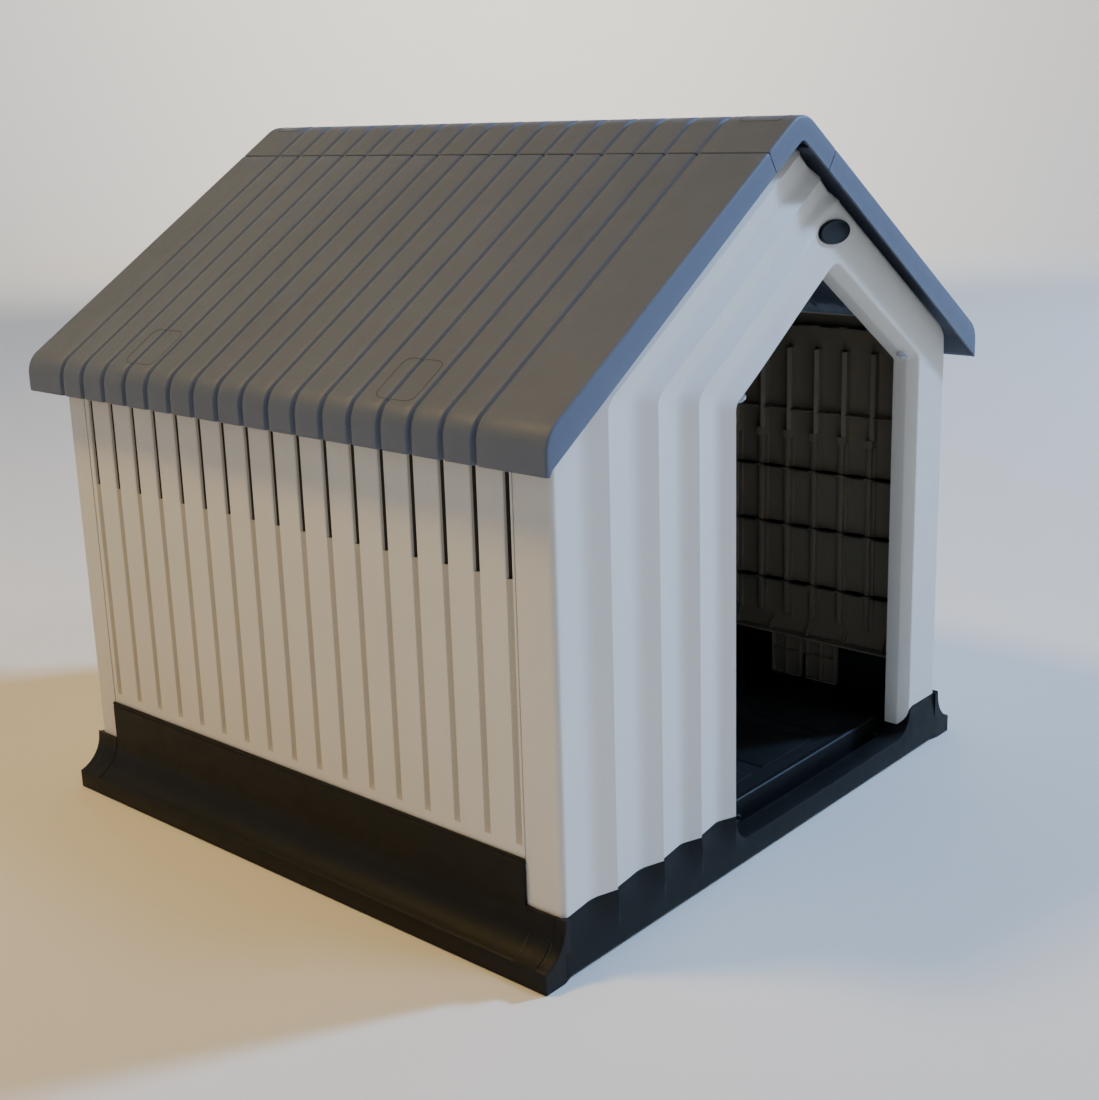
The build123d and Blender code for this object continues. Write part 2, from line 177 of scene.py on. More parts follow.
# darker copy of the wall plastic on the groove faces: painted shade in the grooves
M_GROOVE_SHADE = plastic("wall_plastic_groove_painted_shade", (0.50, 0.44, 0.345), 0.52, grain=0.2, mottle=0.06, spec=0.3)
M_MARK = plastic("witness_line", (0.035, 0.036, 0.037), 0.6, grain=0.2)
M_BADGE = plastic("badge_gloss", (0.004, 0.005, 0.007), 0.30, grain=0.03, mottle=0.03, spec=0.12, sheen_rough=0.03)
M_PIN = plastic("pin_plastic", (0.030, 0.030, 0.029), 0.4, grain=0.15)


def clear_plastic():
    m = bpy.data.materials.new("stud_clear")
    m.use_nodes = True
    nt = m.node_tree
    b = nt.nodes["Principled BSDF"]
    tc = node(nt, "ShaderNodeTexCoord", -800, 0)
    n = node(nt, "ShaderNodeTexNoise", -600, 0)
    n.inputs["Scale"].default_value = 260.0
    nt.links.new(tc.outputs["Object"], n.inputs["Vector"])
    r = node(nt, "ShaderNodeMapRange", -400, 0)
    r.inputs["To Min"].default_value = 0.05
    r.inputs["To Max"].default_value = 0.16
    nt.links.new(n.outputs["Fac"], r.inputs["Value"])
    nt.links.new(r.outputs[0], b.inputs["Roughness"])
    cr = node(nt, "ShaderNodeMix", -300, 200, data_type="RGBA")
    nt.links.new(n.outputs["Fac"], cr.inputs[0])
    cr.inputs[6].default_value = (0.80, 0.82, 0.84, 1)
    cr.inputs[7].default_value = (0.92, 0.93, 0.95, 1)
    nt.links.new(cr.outputs[2], b.inputs["Base Color"])
    b.inputs["Transmission Weight"].default_value = 0.75
    b.inputs["IOR"].default_value = 1.49
    return m


M_CLEAR = clear_plastic()


# ------------------------------------------------------------------ mesh helpers
def new_obj(name, verts, faces, mat):
    me = bpy.data.meshes.new(name)
    me.from_pydata([(float(v[0]) / 1000, float(v[1]) / 1000, float(v[2]) / 1000) for v in verts], [], [tuple(int(i) for i in f) for f in faces])
    me.update()
    o = bpy.data.objects.new(name, me)
    bpy.context.scene.collection.objects.link(o)
    me.materials.append(mat)
    return o


def finish_mesh(o, angle=32.0, recalc=True):
    """Bakes the modifiers, closes normals and marks the hard edges."""
    if o.modifiers:
        dg = bpy.context.evaluated_depsgraph_get()
        me = bpy.data.meshes.new_from_object(o.evaluated_get(dg))
        o.modifiers.clear()
        old = o.data
        o.data = me
        bpy.data.meshes.remove(old)
    if recalc:
        bm = bmesh.new()
        bm.from_mesh(o.data)
        bmesh.ops.recalc_face_normals(bm, faces=bm.faces)
        bm.to_mesh(o.data)
        bm.free()
    for p in o.data.polygons:
        p.use_smooth = True
    o.data.set_sharp_from_angle(angle=math.radians(angle))
    return o


def solidify(o, t_mm):
    md = o.modifiers.new("wall", "SOLIDIFY")
    md.thickness = t_mm / 1000
    md.offset = -1.0
    md.use_even_offset = False
    md.use_quality_normals = True
    md.use_rim = True
    md.thickness_clamp = 0.0
    return o


def grid_faces(ni, nj, mask=None, flip=False, base=0):
    f = []
    for i in range(ni - 1):
        for j in range(nj - 1):
            if mask is not None and not mask[i][j]:
                continue
            q = [base + i * nj + j, base + (i + 1) * nj + j, base + (i + 1) * nj + j + 1, base + i * nj + j + 1]
            f.append(q[::-1] if flip else q)
    return f


def drop_loose(o):
    bm = bmesh.new()
    bm.from_mesh(o.data)
    loose = [v for v in bm.verts if not v.link_faces]
    bmesh.ops.delete(bm, geom=loose, context="VERTS")
    bm.to_mesh(o.data)
    bm.free()


def rounded_box(lo, hi, r=1.0, seg=2):
    """Vertices and faces of a box with rounded edges, all in mm."""
    bm = bmesh.new()
    bmesh.ops.create_cube(bm, size=1.0)
    for v in bm.verts:
        v.co = Vector(((lo[k] + hi[k]) / 2 + v.co[k] * (hi[k] - lo[k]) for k in range(3)))
    bmesh.ops.bevel(bm, geom=list(bm.edges), offset=r, segments=seg, affect="EDGES", profile=0.5)
    vs = [tuple(v.co) for v in bm.verts]
    idx = {v: i for i, v in enumerate(bm.verts)}
    fs = [[idx[v] for v in f.verts] for f in bm.faces]
    bm.free()
    return vs, fs


class Bag:
    """Collects closed solids into one mesh."""
    def __init__(self):
        self.v, self.f = [], []

    def add(self, vf):
        b = len(self.v)
        self.v += list(vf[0])
        self.f += [[b + i for i in f] for f in vf[1]]
        return self

    def box(self, lo, hi, r=0.8, seg=2):
        return self.add(rounded_box(lo, hi, r, seg))

    def obj(self, name, mat, angle=32.0):
        return finish_mesh(new_obj(name, self.v, self.f, mat), angle)


def prism(pts, axis, a, b):
    """Closed prism from a polygon in the plane square to axis (0 x: (y,z), 1 y: (x,z), 2 z: (x,y))."""
    def at(p, t):
        return {0: (t, p[0], p[1]), 1: (p[0], t, p[1]), 2: (p[0], p[1], t)}[axis]
    n = len(pts)
    vs = [at(p, a) for p in pts] + [at(p, b) for p in pts]
    fs = [list(range(n)), list(range(2 * n - 1, n - 1, -1))]
    for i in range(n):
        j = (i + 1) % n
        fs.append([i, i + n, j + n, j])
    return vs, fs


def lathe(prof, origin, axis, n=40):
    """Closed solid of revolution; prof is (radius, height) from the axis back to the axis."""
    ax = Vector(axis).normalized()
    u = ax.orthogonal().normalized()
    w = ax.cross(u)
    vs, fs, rings = [], [], []
    for r, h in prof:
        c = Vector(origin) + ax * h
        if r < 1e-6:
            rings.append([len(vs)])
            vs.append(tuple(c))
        else:
            rings.append(list(range(len(vs), len(vs) + n)))
            for k in range(n):
                a = 2 * math.pi * k / n
                vs.append(tuple(c + (u * math.cos(a) + w * math.sin(a)) * r))
    for A, B in zip(rings, rings[1:]):
        for k in range(n):
            a0, a1 = A[k % len(A)], A[(k + 1) % len(A)]
            b0, b1 = B[k % len(B)], B[(k + 1) % len(B)]
            q = []
            for i in (a0, a1, b1, b0):
                if i not in q:
                    q.append(i)
            fs.append(q)
    return vs, fs


def tube(path, r, n=8, closed=True):
    """Closed ring tube along 3-D points."""
    P = [Vector(p) for p in path]
    N = len(P)
    vs, fs = [], []
    up = None
    for i in range(N):
        t = (P[(i + 1) % N] - P[i - 1]).normalized() if closed or 0 < i < N - 1 else ((P[1] - P[0]) if i == 0 else (P[-1] - P[-2])).normalized()
        if up is None:
            up = t.orthogonal().normalized()
        up = (up - t * up.dot(t)).normalized()
        w = t.cross(up)
        for k in range(n):
            a = 2 * math.pi * k / n
            vs.append(tuple(P[i] + (up * math.cos(a) + w * math.sin(a)) * r))
    last = N if closed else N - 1
    # the ring may close with a twist, so the seam is matched to the nearest vertex
    shift = 0
    if closed:
        d = [(Vector(vs[(N - 1) * n]) - Vector(vs[k])).length for k in range(n)]
        shift = d.index(min(d))
    for i in range(last):
        j = (i + 1) % N
        s = shift if j == 0 else 0
        for k in range(n):
            fs.append([i * n + k, j * n + (k + s) % n, j * n + (k + 1 + s) % n, i * n + (k + 1) % n])
    if not closed:
        fs.append(list(range(n))[::-1])
        fs.append([(N - 1) * n + k for k in range(n)])
    return vs, fs


def sstep(a, b, x):
    t = min(1.0, max(0.0, (x - a) / (b - a)))
    return t * t * (3 - 2 * t)


# ------------------------------------------------------------------ gable walls
CX = [-445.0, -352.0, -262.0, -183.0, -107.0]
CZ = [648.4, 659.0, 653.0, 642.0, 620.0]
KMIN = 13.0


def shoulder(b):
    return float(np.interp(b, CX, CZ))


def slope_level(x, z):
    """The crest level whose slope part passes through x, z."""
    want = z - T * x
    lo, hi = -700.0, 900.0
    for _ in range(40):
        m = (lo + hi) / 2
        if shoulder(m) - T * m > want:
            lo = m
        else:
            hi = m
    return (lo + hi) / 2


def level(x, z):
    b = slope_level(x, z)
    h = max(KMIN - abs(x - b), 0.0)
    return min(x, b) - h * h / (4 * KMIN)


def level_point(X0, d):
    if d <= -KMIN:
        a, b = X0, X0 - d
    elif d <= 0:
        a = X0 + (KMIN + d) ** 2 / (4 * KMIN)
        b = a - d
    elif d < KMIN:
        b = X0 + (KMIN - d) ** 2 / (4 * KMIN)
        a = b + d
    else:
        b = X0
        a = X0 + d
    return a, shoulder(b) + T * d


STEP = 1.6
DIP, RISE = 7.4, 3.4


def wave(X, x=-500.0, last_fade=True):
    """Stand-out of the wall face at a crest level: a shallow dip, a swelling crest and a sharp step."""
    if X <= CX[0]:
        return 0.0
    for k in range(4):
        a, b = CX[k], CX[k + 1]
        if k:
            a += STEP
        if X <= b or (k == 3 and X <= b + 1e-6):
            if X < a:
                t = (X - CX[k]) / STEP
                return RISE * (1 - t * t * (3 - 2 * t)) * fade(k - 1, x)
            t = (X - a) / (b - a)
            f1 = -DIP * t / 0.62
            f2 = RISE - (DIP + RISE) * (1 - t) / 0.38
            h = max(4.5 - abs(f1 - f2), 0.0)
            v = max(f1, f2) + h * h / 18.0
            return v * fade(k, x)
    return RISE * fade(3, x) * (1 - sstep(0, 26, X - CX[4]))


def fade(k, x):
    if k == 3:
        return 1 - sstep(-70.0, 90.0, x)
    return 1.0


def contour(d, z0, n_arc=7):
    """Outline of the gable wall, inset by d, as an open line from bottom left to bottom right."""
    x = WX - d
    g = GABLE_Z - d / C
    zs = g - T * x
    R = 46.0 - d
    sr = 20.0 - d
    tl = sr * math.tan(math.radians(28.25))
    right = []
    nz = 18
    for i in range(nz):
        right.append((x, z0 + (zs - tl - z0) * i / (nz - 1)))
    cx, cz = x - sr, zs - tl
    for i in range(1, n_arc):
        a = math.radians(56.5) * i / n_arc
        right.append((cx + sr * math.cos(a), cz + sr * math.sin(a)))
    p1 = (x - tl * C, zs + tl * S)
    tx = R * S
    tz = g - T * tx
    ns = 46
    for i in range(ns):
        t = i / (ns - 1)
        right.append((p1[0] + (tx - p1[0]) * t, p1[1] + (tz - p1[1]) * t))
    cz2 = g - R / C
    for i in range(1, n_arc):
        a = math.radians(56.5 + 33.5 * i / n_arc)
        right.append((R * math.cos(a), cz2 + R * math.sin(a)))
    top = (0.0, cz2 + R)
    left = [(-p[0], p[1]) for p in right]
    return left + [top] + right[::-1]


def round_poly(pts, radii, seg=7):
    """Open polyline with rounded corners."""
    out = [pts[0]]
    for i in range(1, len(pts) - 1):
        p, a, b = Vector(pts[i]), Vector(pts[i - 1]), Vector(pts[i + 1])
        u, w = (a - p).normalized(), (b - p).normalized()
        th = u.angle(w)
        r = radii[i - 1]
        t = r / math.tan(th / 2)
        c = p + (u + w).normalized() * (r / math.sin(th / 2))
        s, e = p + u * t, p + w * t
        a0, a1 = math.atan2(s.y - c.y, s.x - c.x), math.atan2(e.y - c.y, e.x - c.x)
        while a1 - a0 > math.pi:
            a1 -= 2 * math.pi
        while a1 - a0 < -math.pi:
            a1 += 2 * math.pi
        for k in range(seg + 1):
            q = a0 + (a1 - a0) * k / seg
            out.append((c.x + r * math.cos(q), c.y + r * math.sin(q)))
    out.append(pts[-1])
    return out


def subdivide(line, step):
    out = [line[0]]
    for a, b in zip(line, line[1:]):
        L = math.dist(a, b)
        n = max(1, int(L / step))
        for k in range(1, n + 1):
            out.append((a[0] + (b[0] - a[0]) * k / n, a[1] + (b[1] - a[1]) * k / n))
    return out


def door_line(z0, grow=12.0):
    """Doorway edge from bottom right up over the point and down to bottom left; grow is measured from the clear opening."""
    h = DOOR_H - 12.0 + grow
    zs = DOOR_SH - (12.0 - grow) * (1 / C - T)
    p = [(DOOR_CX + h, z0), (DOOR_CX + h, zs), (DOOR_CX, zs + T * h), (DOOR_CX - h, zs), (DOOR_CX - h, z0)]
    r = 4.0 + grow
    return round_poly(p, [r + 4, r + 8, r], 8)


def inside_poly(p, poly):
    x, y = p
    c = False
    j = len(poly) - 1
    for i in range(len(poly)):
        xi, yi = poly[i]
        xj, yj = poly[j]
        if (yi > y) != (yj > y) and x < (xj - xi) * (y - yi) / (yj - yi) + xi:
            c = not c
        j = i
    return c


ROLL = 9.0


def gable_mesh(name, with_door, ret, sign):
    z0 = 50.0
    outer = contour(0.0, z0)
    door = subdivide(door_line(z0), 24.0) if with_door else []
    n_out = len(outer)
    # the bottom edge is cut finely because the waves cross it
    xs_fine = set()
    for k in range(4):
        a, b = CX[k], CX[k + 1]
        for t in (0.0, 0.06, 0.13, 0.2, 0.28, 0.36, 0.44, 0.52, 0.6, 0.68, 0.75, 0.81, 0.87, 0.92, 0.96, 0.985, 1.0):
            X = (a + (STEP if k else 0)) + (b - a - (STEP if k else 0)) * t
            xs_fine.add(round(X, 3))
    levels = sorted(xs_fine | {CX[k] + STEP * 0.5 for k in (1, 2, 3)})
    levels = [v for v in levels if v > CX[0] + 1.0]
    if with_door:
        levels = [v for v in levels if v < CX[4] - 0.5]
        bl = [p for p in [(x, z0) for x in (430.0, 415.0, 400.0, 382.0)]]
        br = [(x, z0) for x in sorted([v for v in levels], reverse=True)]
        poly = outer + bl + door + br
    else:
        levels += [CX[4] + s for s in (4.0, 10.0, 18.0, 27.0)]
        br = [(x, z0) for x in sorted(levels + [float(v) for v in range(-60, 441, 25)], reverse=True)]
        poly = outer + br
    verts = [Vector(p) for p in poly]
    edges = [(i, (i + 1) % len(poly)) for i in range(len(poly))]

    def add_line(pts):
        b = len(verts)
        verts.extend(Vector(p) for p in pts)
        edges.extend((b + i, b + i + 1) for i in range(len(pts) - 1))

    for d in (0.35, 1.1, 2.4, 4.2, 6.4, ROLL, 13.0):
        add_line(contour(d, z0))
    if with_door:
        add_line([q for q in subdivide(door_line(z0, 15.0), 24.0)])
    def clear(q):
        """Inside the panel, a hair clear of its straight outer edges."""
        return q[1] > z0 and WX - abs(q[0]) > 0.6 and (GABLE_Z - T * abs(q[0]) - q[1]) * C > 0.6 and inside_poly(q, poly)

    for X in levels:
        pts = []
        # from the bottom to the shoulder
        lo = -(shoulder(min(X + 400, 900)) - z0) / T
        ds = list(np.linspace(-900, -60, 36)) + [-48, -38, -30, -24, -20, -16.5] + list(np.linspace(-KMIN, KMIN, 11)) + [17, 22, 30, 40] + list(np.linspace(56, 700, 36))
        prev = None
        for dlt in ds:
            p = level_point(X, float(dlt))
            ok = clear(p)
            if ok:
                if prev is not None and not prev[1]:
                    a, b2 = prev[2], float(dlt)
                    for _ in range(30):
                        m = (a + b2) / 2
                        q = level_point(X, m)
                        if clear(q):
                            b2 = m
                        else:
                            a = m
                    pts.append(level_point(X, b2))
                pts.append(p)
            elif prev is not None and prev[1]:
                a, b2 = prev[2], float(dlt)
                for _ in range(30):
                    m = (a + b2) / 2
                    q = level_point(X, m)
                    if clear(q):
                        a = m
                    else:
                        b2 = m
                pts.append(level_point(X, a))
                break
            prev = (p, ok, float(dlt))
        if len(pts) > 1:
            # the level line starts exactly on the bottom edge
            if abs(pts[0][1] - z0) < 40:
                pts[0] = (pts[0][0], z0)
            add_line(pts)
    # loose points fill the plain areas
    for ix in range(-5, 18):
        for iz in range(3, 36):
            p = (ix * 27.0 + (13.0 if iz % 2 else 0.0), iz * 25.0)
            if inside_poly(p, poly) and level(*p) > CX[4] + (2 if with_door else 30) and inside_poly(p, contour(17.0, z0)):
                verts.append(Vector(p))
    vo, eo, fo, *_ = delaunay_2d_cdt(verts, edges, [], 0, 1e-4)
    tri = []
    for f in fo:
        c = (sum(vo[i].x for i in f) / len(f), sum(vo[i].y for i in f) / len(f))
        if inside_poly(c, poly):
            tri.append(list(f))
    used = sorted({i for f in tri for i in f})
    remap = {v: i for i, v in enumerate(used)}
    tri = [[remap[i] for i in f] for f in tri]
    P2 = [(vo[i].x, vo[i].y) for i in used]

    def edge_dist(x, z):
        d1 = WX - abs(x)
        d2 = (GABLE_Z - T * abs(x) - z) * C
        R = 46.0
        # distance to the rounded apex and shoulders comes from the straight edges, blended
        h = max(18.0 - abs(d1 - d2), 0.0)
        d = min(d1, d2) - h * h / (4 * 18.0)
        if abs(x) < R * S + 2:
            czz = GABLE_Z - R / C
            if z > czz:
                d = min(d, R - math.hypot(x, z - czz)) if math.hypot(x, z - czz) > R * 0.4 else d
        return max(d, 0.0)

    V = []
    for x, z in P2:
        h = wave(level(x, z), x)
        h *= sstep(42.0, 70.0, math.hypot(x - 119.0, (z - 812.0) * 1.6)) if with_door else 1.0
        d = edge_dist(x, z)
        if d < ROLL:
            h = h * (0.45 + 0.55 * d / ROLL) - (ROLL - math.sqrt(max(0.0, ROLL * ROLL - (ROLL - d) ** 2)))
        V.append([x, YF - h, z])
    # boundary loop
    cnt = {}
    for f in tri:
        for a, b in zip(f, f[1:] + f[:1]):
            cnt[(a, b)] = cnt.get((a, b), 0) + 1
    bnd = [(a, b) for (a, b) in cnt if (b, a) not in cnt]
    nxt = {a: b for a, b in bnd}
    faces = [list(f) for f in tri]
    # orientation: triangles face -Y when they run counter-clockwise seen from -Y
    a, b, c = (Vector(V[i]) for i in tri[0])
    if (b - a).cross(c - a).y > 0:
        faces = [f[::-1] for f in faces]
        bnd = [(b_, a_) for a_, b_ in bnd]
        nxt = {a_: b_ for a_, b_ in bnd}
    prv = {b_: a_ for a_, b_ in bnd}
    doorset = {}
    dl = door_line(z0) if with_door else []

    def seg_dist(p, a, b):
        ax, ay = a
        bx, by = b
        L = (bx - ax) ** 2 + (by - ay) ** 2
        t = max(0, min(1, ((p[0] - ax) * (bx - ax) + (p[1] - ay) * (by - ay)) / L)) if L else 0
        return math.hypot(p[0] - ax - t * (bx - ax), p[1] - ay - t * (by - ay))

    ring1, ring2, ring3 = {}, {}, {}
    for i in nxt:
        x, z = P2[i]
        on_out = min(seg_dist((x, z), p, q) for p, q in zip(outer, outer[1:])) < 0.2
        if on_out:
            side = abs(x) > WX - 0.02 and z < 628
            y_end = YF + (ret if side else 24.0)
            ymid = YF + ROLL + 3.0
            ring1[i] = len(V)
            V.append([x, max(V[i][1] + 1.0, ymid), z])
            ring2[i] = len(V)
            V.append([x, y_end, z])
        elif with_door and min(seg_dist((x, z), p, q) for p, q in zip(dl, dl[1:])) < 0.05:
            doorset[i] = True
    if with_door:
        inn = door_line(z0, 0.0)
        # matching points on the inner line: move along the local normal
        loop = [i for i in doorset]
        for i in loop:
            x, z = P2[i]
            a_, b_ = prv.get(i), nxt.get(i)
            tv = Vector((0.0, 0.0))
            if a_ in doorset or b_ in doorset:
                pa = Vector(P2[a_]) if a_ in doorset else Vector(P2[i])
                pb = Vector(P2[b_]) if b_ in doorset else Vector(P2[i])
                la, lb = (Vector(P2[i]) - pa), (pb - Vector(P2[i]))
                tv = (la.normalized() if la.length > 1e-9 else Vector((0, 0))) + (lb.normalized() if lb.length > 1e-9 else Vector((0, 0)))
            tv.normalize()
            n = Vector((tv.y, -tv.x))
            if not inside_poly((x + n.x * 2, z + n.y * 2), dl + [dl[0]]) and z > z0 + 5:
                n = -n
            if z <= z0 + 5:
                n = Vector((-1.0 if x > DOOR_CX else 1.0, 0.0))
            g = 12.0
            y0 = V[i][1]
            ring1[i] = len(V)
            V.append([x + n.x * 1.5, y0 + 1.0, z + n.y * 1.5])
            ring2[i] = len(V)
            V.append([x + n.x * (g - 1.2), YF + 13.2, z + n.y * (g - 1.2)])
            ring3[i] = len(V)
            V.append([x + n.x * g, YF + 15.5, z + n.y * g])
            doorset[i] = len(V)
            V.append([x + n.x * g, YF + 35.0, z + n.y * g])
    for a_, b_ in bnd:
        for R1, R2 in ((ring1, ring2),):
            if a_ in ring1 and b_ in ring1 and (a_ in doorset) == (b_ in doorset):
                faces.append([b_, a_, ring1[a_], ring1[b_]])
                faces.append([ring1[b_], ring1[a_], ring2[a_], ring2[b_]])
                if a_ in doorset:
                    faces.append([ring2[b_], ring2[a_], ring3[a_], ring3[b_]])
                    faces.append([ring3[b_], ring3[a_], doorset[a_], doorset[b_]])
    if sign < 0:
        V = [[v[0], -v[1], v[2]] for v in V]
        faces = [f[::-1] for f in faces]
    o = new_obj(name, V, faces, M_WALL)
    # the inside face of the shell takes the darker inner plastic: painted shade
    o.data.materials.append(M_WALL_IN_SHADE)
    solidify(o, 3.6).modifiers["wall"].material_offset = 1
    return finish_mesh(o, 38.0, recalc=False)


front = gable_mesh("front_gable_panel", True, 56.2, 1)
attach(front, "house")
back = gable_mesh("back_gable_panel", False, 44.4, -1)
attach(back, "house")


def gable_inner(name, with_door, sign, ret):
    """Corner tongues, ribs and stiffeners behind a gable panel."""
    bag = Bag()
    y = YF
    for sg in (-1, 1):
        x0, x1 = sorted((sg * (WX - 5.4), sg * (WX - 8.4)))
        bag.box((x0, y + 12, 150), (x1, y + ret + 3, 560), 0.8)
        x0, x1 = sorted((sg * (WX - 3), sg * (WX - 8.4)))
        bag.box((x0, y + 12, 150), (x1, y + ret - 10, 560), 0.6)
    zs = (160, 290, 420, 550)
    spans = [(-437.0, -100.0), (356.0, 437.0)] if with_door else [(-437.0, 437.0)]
    for z in zs:
        for a, b in spans:
            bag.box((a, y + 8.6, z - 1.3), (b, y + 17, z + 1.3), 0.6)
    for x in ([-400, -310, -220, -150] if with_door else [-400, -310, -220, -140, -40, 60, 160, 260, 350]):
        top = (600.0 if with_door else GABLE_Z - T * abs(x) - 60)
        bag.box((x - 1.3, y + 8.6, 70), (x + 1.3, y + 16, top), 0.6)
    v = [(p[0], p[1] if sign > 0 else -p[1], p[2]) for p in bag.v]
    # the ribs take the darker inner plastic: painted shade
    o = finish_mesh(new_obj(name, v, bag.f, M_WALL_IN_SHADE))
    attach(o, "house")
    return o


gable_inner("front_gable_ribs", True, 1, 57.0)
gable_inner("back_gable_ribs", False, -1, 45.0)
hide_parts("front_wall")
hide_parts("back_wall")



# ------------------------------------------------------------------ roof
ECX, ECZ = EAVE_X - EAVE_R, RIDGE_Z - EAVE_R / C - T * (EAVE_X - EAVE_R)
TX = ECX + EAVE_R * S
L_SLOPE = (TX - SEAM_X) / C
L_ARC = EAVE_R * math.radians(56.5)
L_DROP = ECZ - EAVE_Z
L_ALL = L_SLOPE + L_ARC + L_DROP


def roof_at(s):
    """Outer roof line from the seam to the eave tip: point and outward normal."""
    if s <= L_SLOPE:
        x = SEAM_X + s * C
        return x, RIDGE_Z - T * x, S, C
    if s <= L_SLOPE + L_ARC:
        a = math.radians(56.5) - (s - L_SLOPE) / EAVE_R
        return ECX + EAVE_R * math.cos(a), ECZ + EAVE_R * math.sin(a), math.cos(a), math.sin(a)
    return EAVE_X, ECZ - (s - L_SLOPE - L_ARC), 1.0, 0.0


RCZ = RIDGE_Z - RIDGE_R / C
RTX = RIDGE_R * S
L_CAPS = (SEAM_X - RTX) / C
L_CAPA = RIDGE_R * math.radians(33.5)


def cap_at(s):
    """Outer cap line by length from the top, right side positive."""
    sg = 1 if s >= 0 else -1
    s = abs(s)
    if s <= L_CAPA:
        a = math.radians(90) - s / RIDGE_R
        return sg * RIDGE_R * math.cos(a), RCZ + RIDGE_R * math.sin(a), sg * math.cos(a), math.sin(a)
    x = RTX + (s - L_CAPA) * C
    return sg * x, RIDGE_Z - T * x, sg * S, C


GP = [(-1.12, 0.0), (-0.92, 0.08), (-0.55, 0.42), (-0.15, 0.86), (0.08, 1.0), (0.28, 0.93), (0.62, 0.48), (0.88, 0.10), (1.06, 0.0)]


def groove_cols(yc, hw):
    return [(yc + a * hw, b) for a, b in GP]


def roof_shell(name, at, ss, hw_of, dp_of, bottom_of, top_rows, mat):
    """Shell over a roof line: Y columns with flutes, rounded front and back edges and fascias."""
    cols = []
    R = 3.6
    e = ROOF_L
    cols.append(("fb", -e, 0.0))
    cols.append(("fm", -e, 0.5))
    cols.append(("n", -e, R, 0.0))
    for k in range(1, 5):
        a = math.pi / 2 * k / 4
        cols.append(("n", -e + R * (1 - math.cos(a)), R * (1 - math.sin(a)), 0.0))
    cols.append(("n", -e + 9, 0.0, 0.0))
    cols.append(("n", -e + 40, 0.0, 0.0))
    cols.append(("n", -e + 75, 0.0, 0.0))
    for i, yc in enumerate(GROOVE_Y):
        for k in range(len(GP)):
            cols.append(("g", yc, k))
        if i < 16:
            for t in (0.3, 0.5, 0.7):
                cols.append(("n", yc + 49.7 * t, 0.0, 0.0))
    cols.append(("n", e - 45, 0.0, 0.0))
    cols.append(("n", e - 9, 0.0, 0.0))
    for k in range(4, 0, -1):
        a = math.pi / 2 * k / 4
        cols.append(("n", e - R * (1 - math.cos(a)), R * (1 - math.sin(a)), 0.0))
    cols.append(("n", e, R, 0.0))
    cols.append(("fm", e, 0.5))
    cols.append(("fb", e, 0.0))
    V = []
    for s, inset in ss:
        x, z, nx, nz = at(s)
        for c in cols:
            if c[0] == "n":
                y, d = c[1], c[2] + inset
            elif c[0] == "g":
                y = c[1] + GP[c[2]][0] * hw_of(s)
                d = GP[c[2]][1] * dp_of(s) + inset
            else:
                y = c[1]
                bx, bz = bottom_of(s)
                d0 = R + inset
                px, pz = x - nx * d0, z - nz * d0
                t = 1.0 if c[0] == "fb" else 0.5
                V.append((px + (bx - px) * t, y, pz + (bz - pz) * t))
                continue
            V.append((x - nx * d, y, z - nz * d))
    ni, nj = len(ss), len(cols)
    mask = None
    if top_rows:
        mask = [[not (i < top_rows and (j < 2 or j > nj - 4)) for j in range(nj - 1)] for i in range(ni - 1)]
    o = new_obj(name, V, grid_faces(ni, nj, mask), mat)
    bm = bmesh.new()
    bm.from_mesh(o.data)
    bmesh.ops.delete(bm, geom=[v for v in bm.verts if not v.link_faces], context="VERTS")
    bm.to_mesh(o.data)
    bm.free()
    # outward faces: the first slope face must look up
    p = max(o.data.polygons, key=lambda q: q.center.z)
    if p.normal.z < 0:
        o.data.flip_normals()
    solidify(o, 3.4)
    finish_mesh(o, 28.0, recalc=False)
    for v in o.data.vertices:
        v.co.y = max(-ROOF_L / 1000, min(ROOF_L / 1000, v.co.y))
    return o


def fb_panel(s):
    t = min(1.0, max(0.0, s / L_ALL))
    return 59.4 + (475.5 - 59.4) * t, 893.2 + (610.8 - 893.2) * t


def panel_hw(s):
    return 4.3 + 0.9 * sstep(L_SLOPE - 25, L_SLOPE + L_ARC * 0.6, s)


def panel_dp(s):
    return 3.0 + 2.4 * sstep(L_SLOPE - 15, L_SLOPE + L_ARC * 0.8, s)


ss = [(-16.0, 5.2), (-1.0, 5.2), (0.5, 4.6), (0.5, 2.2), (0.9, 0.9), (2.0, 0.2), (3.6, 0.0)]
ss += [(float(v), 0.0) for v in np.linspace(30, L_SLOPE - 30, 14)]
ss += [(L_SLOPE - 20, 0.0), (L_SLOPE - 10, 0.0)] + [(float(v), 0.0) for v in np.linspace(L_SLOPE, L_SLOPE + L_ARC, 13)]
ss += [(L_ALL - 16, 0.0), (L_ALL - 6, 0.0), (L_ALL - 2.2, 0.1), (L_ALL - 0.8, 0.7), (L_ALL - 0.1, 1.7)]


def mirror_obj(o, name):
    me = o.data.copy()
    for v in me.vertices:
        v.co.x = -v.co.x
    me.flip_normals()
    q = bpy.data.objects.new(name, me)
    bpy.context.scene.collection.objects.link(q)
    return q


right_panel = roof_shell("right_roof_shell", roof_at, ss, panel_hw, panel_dp, fb_panel, 4, M_ROOF)
left_panel = mirror_obj(right_panel, "left_roof_shell")


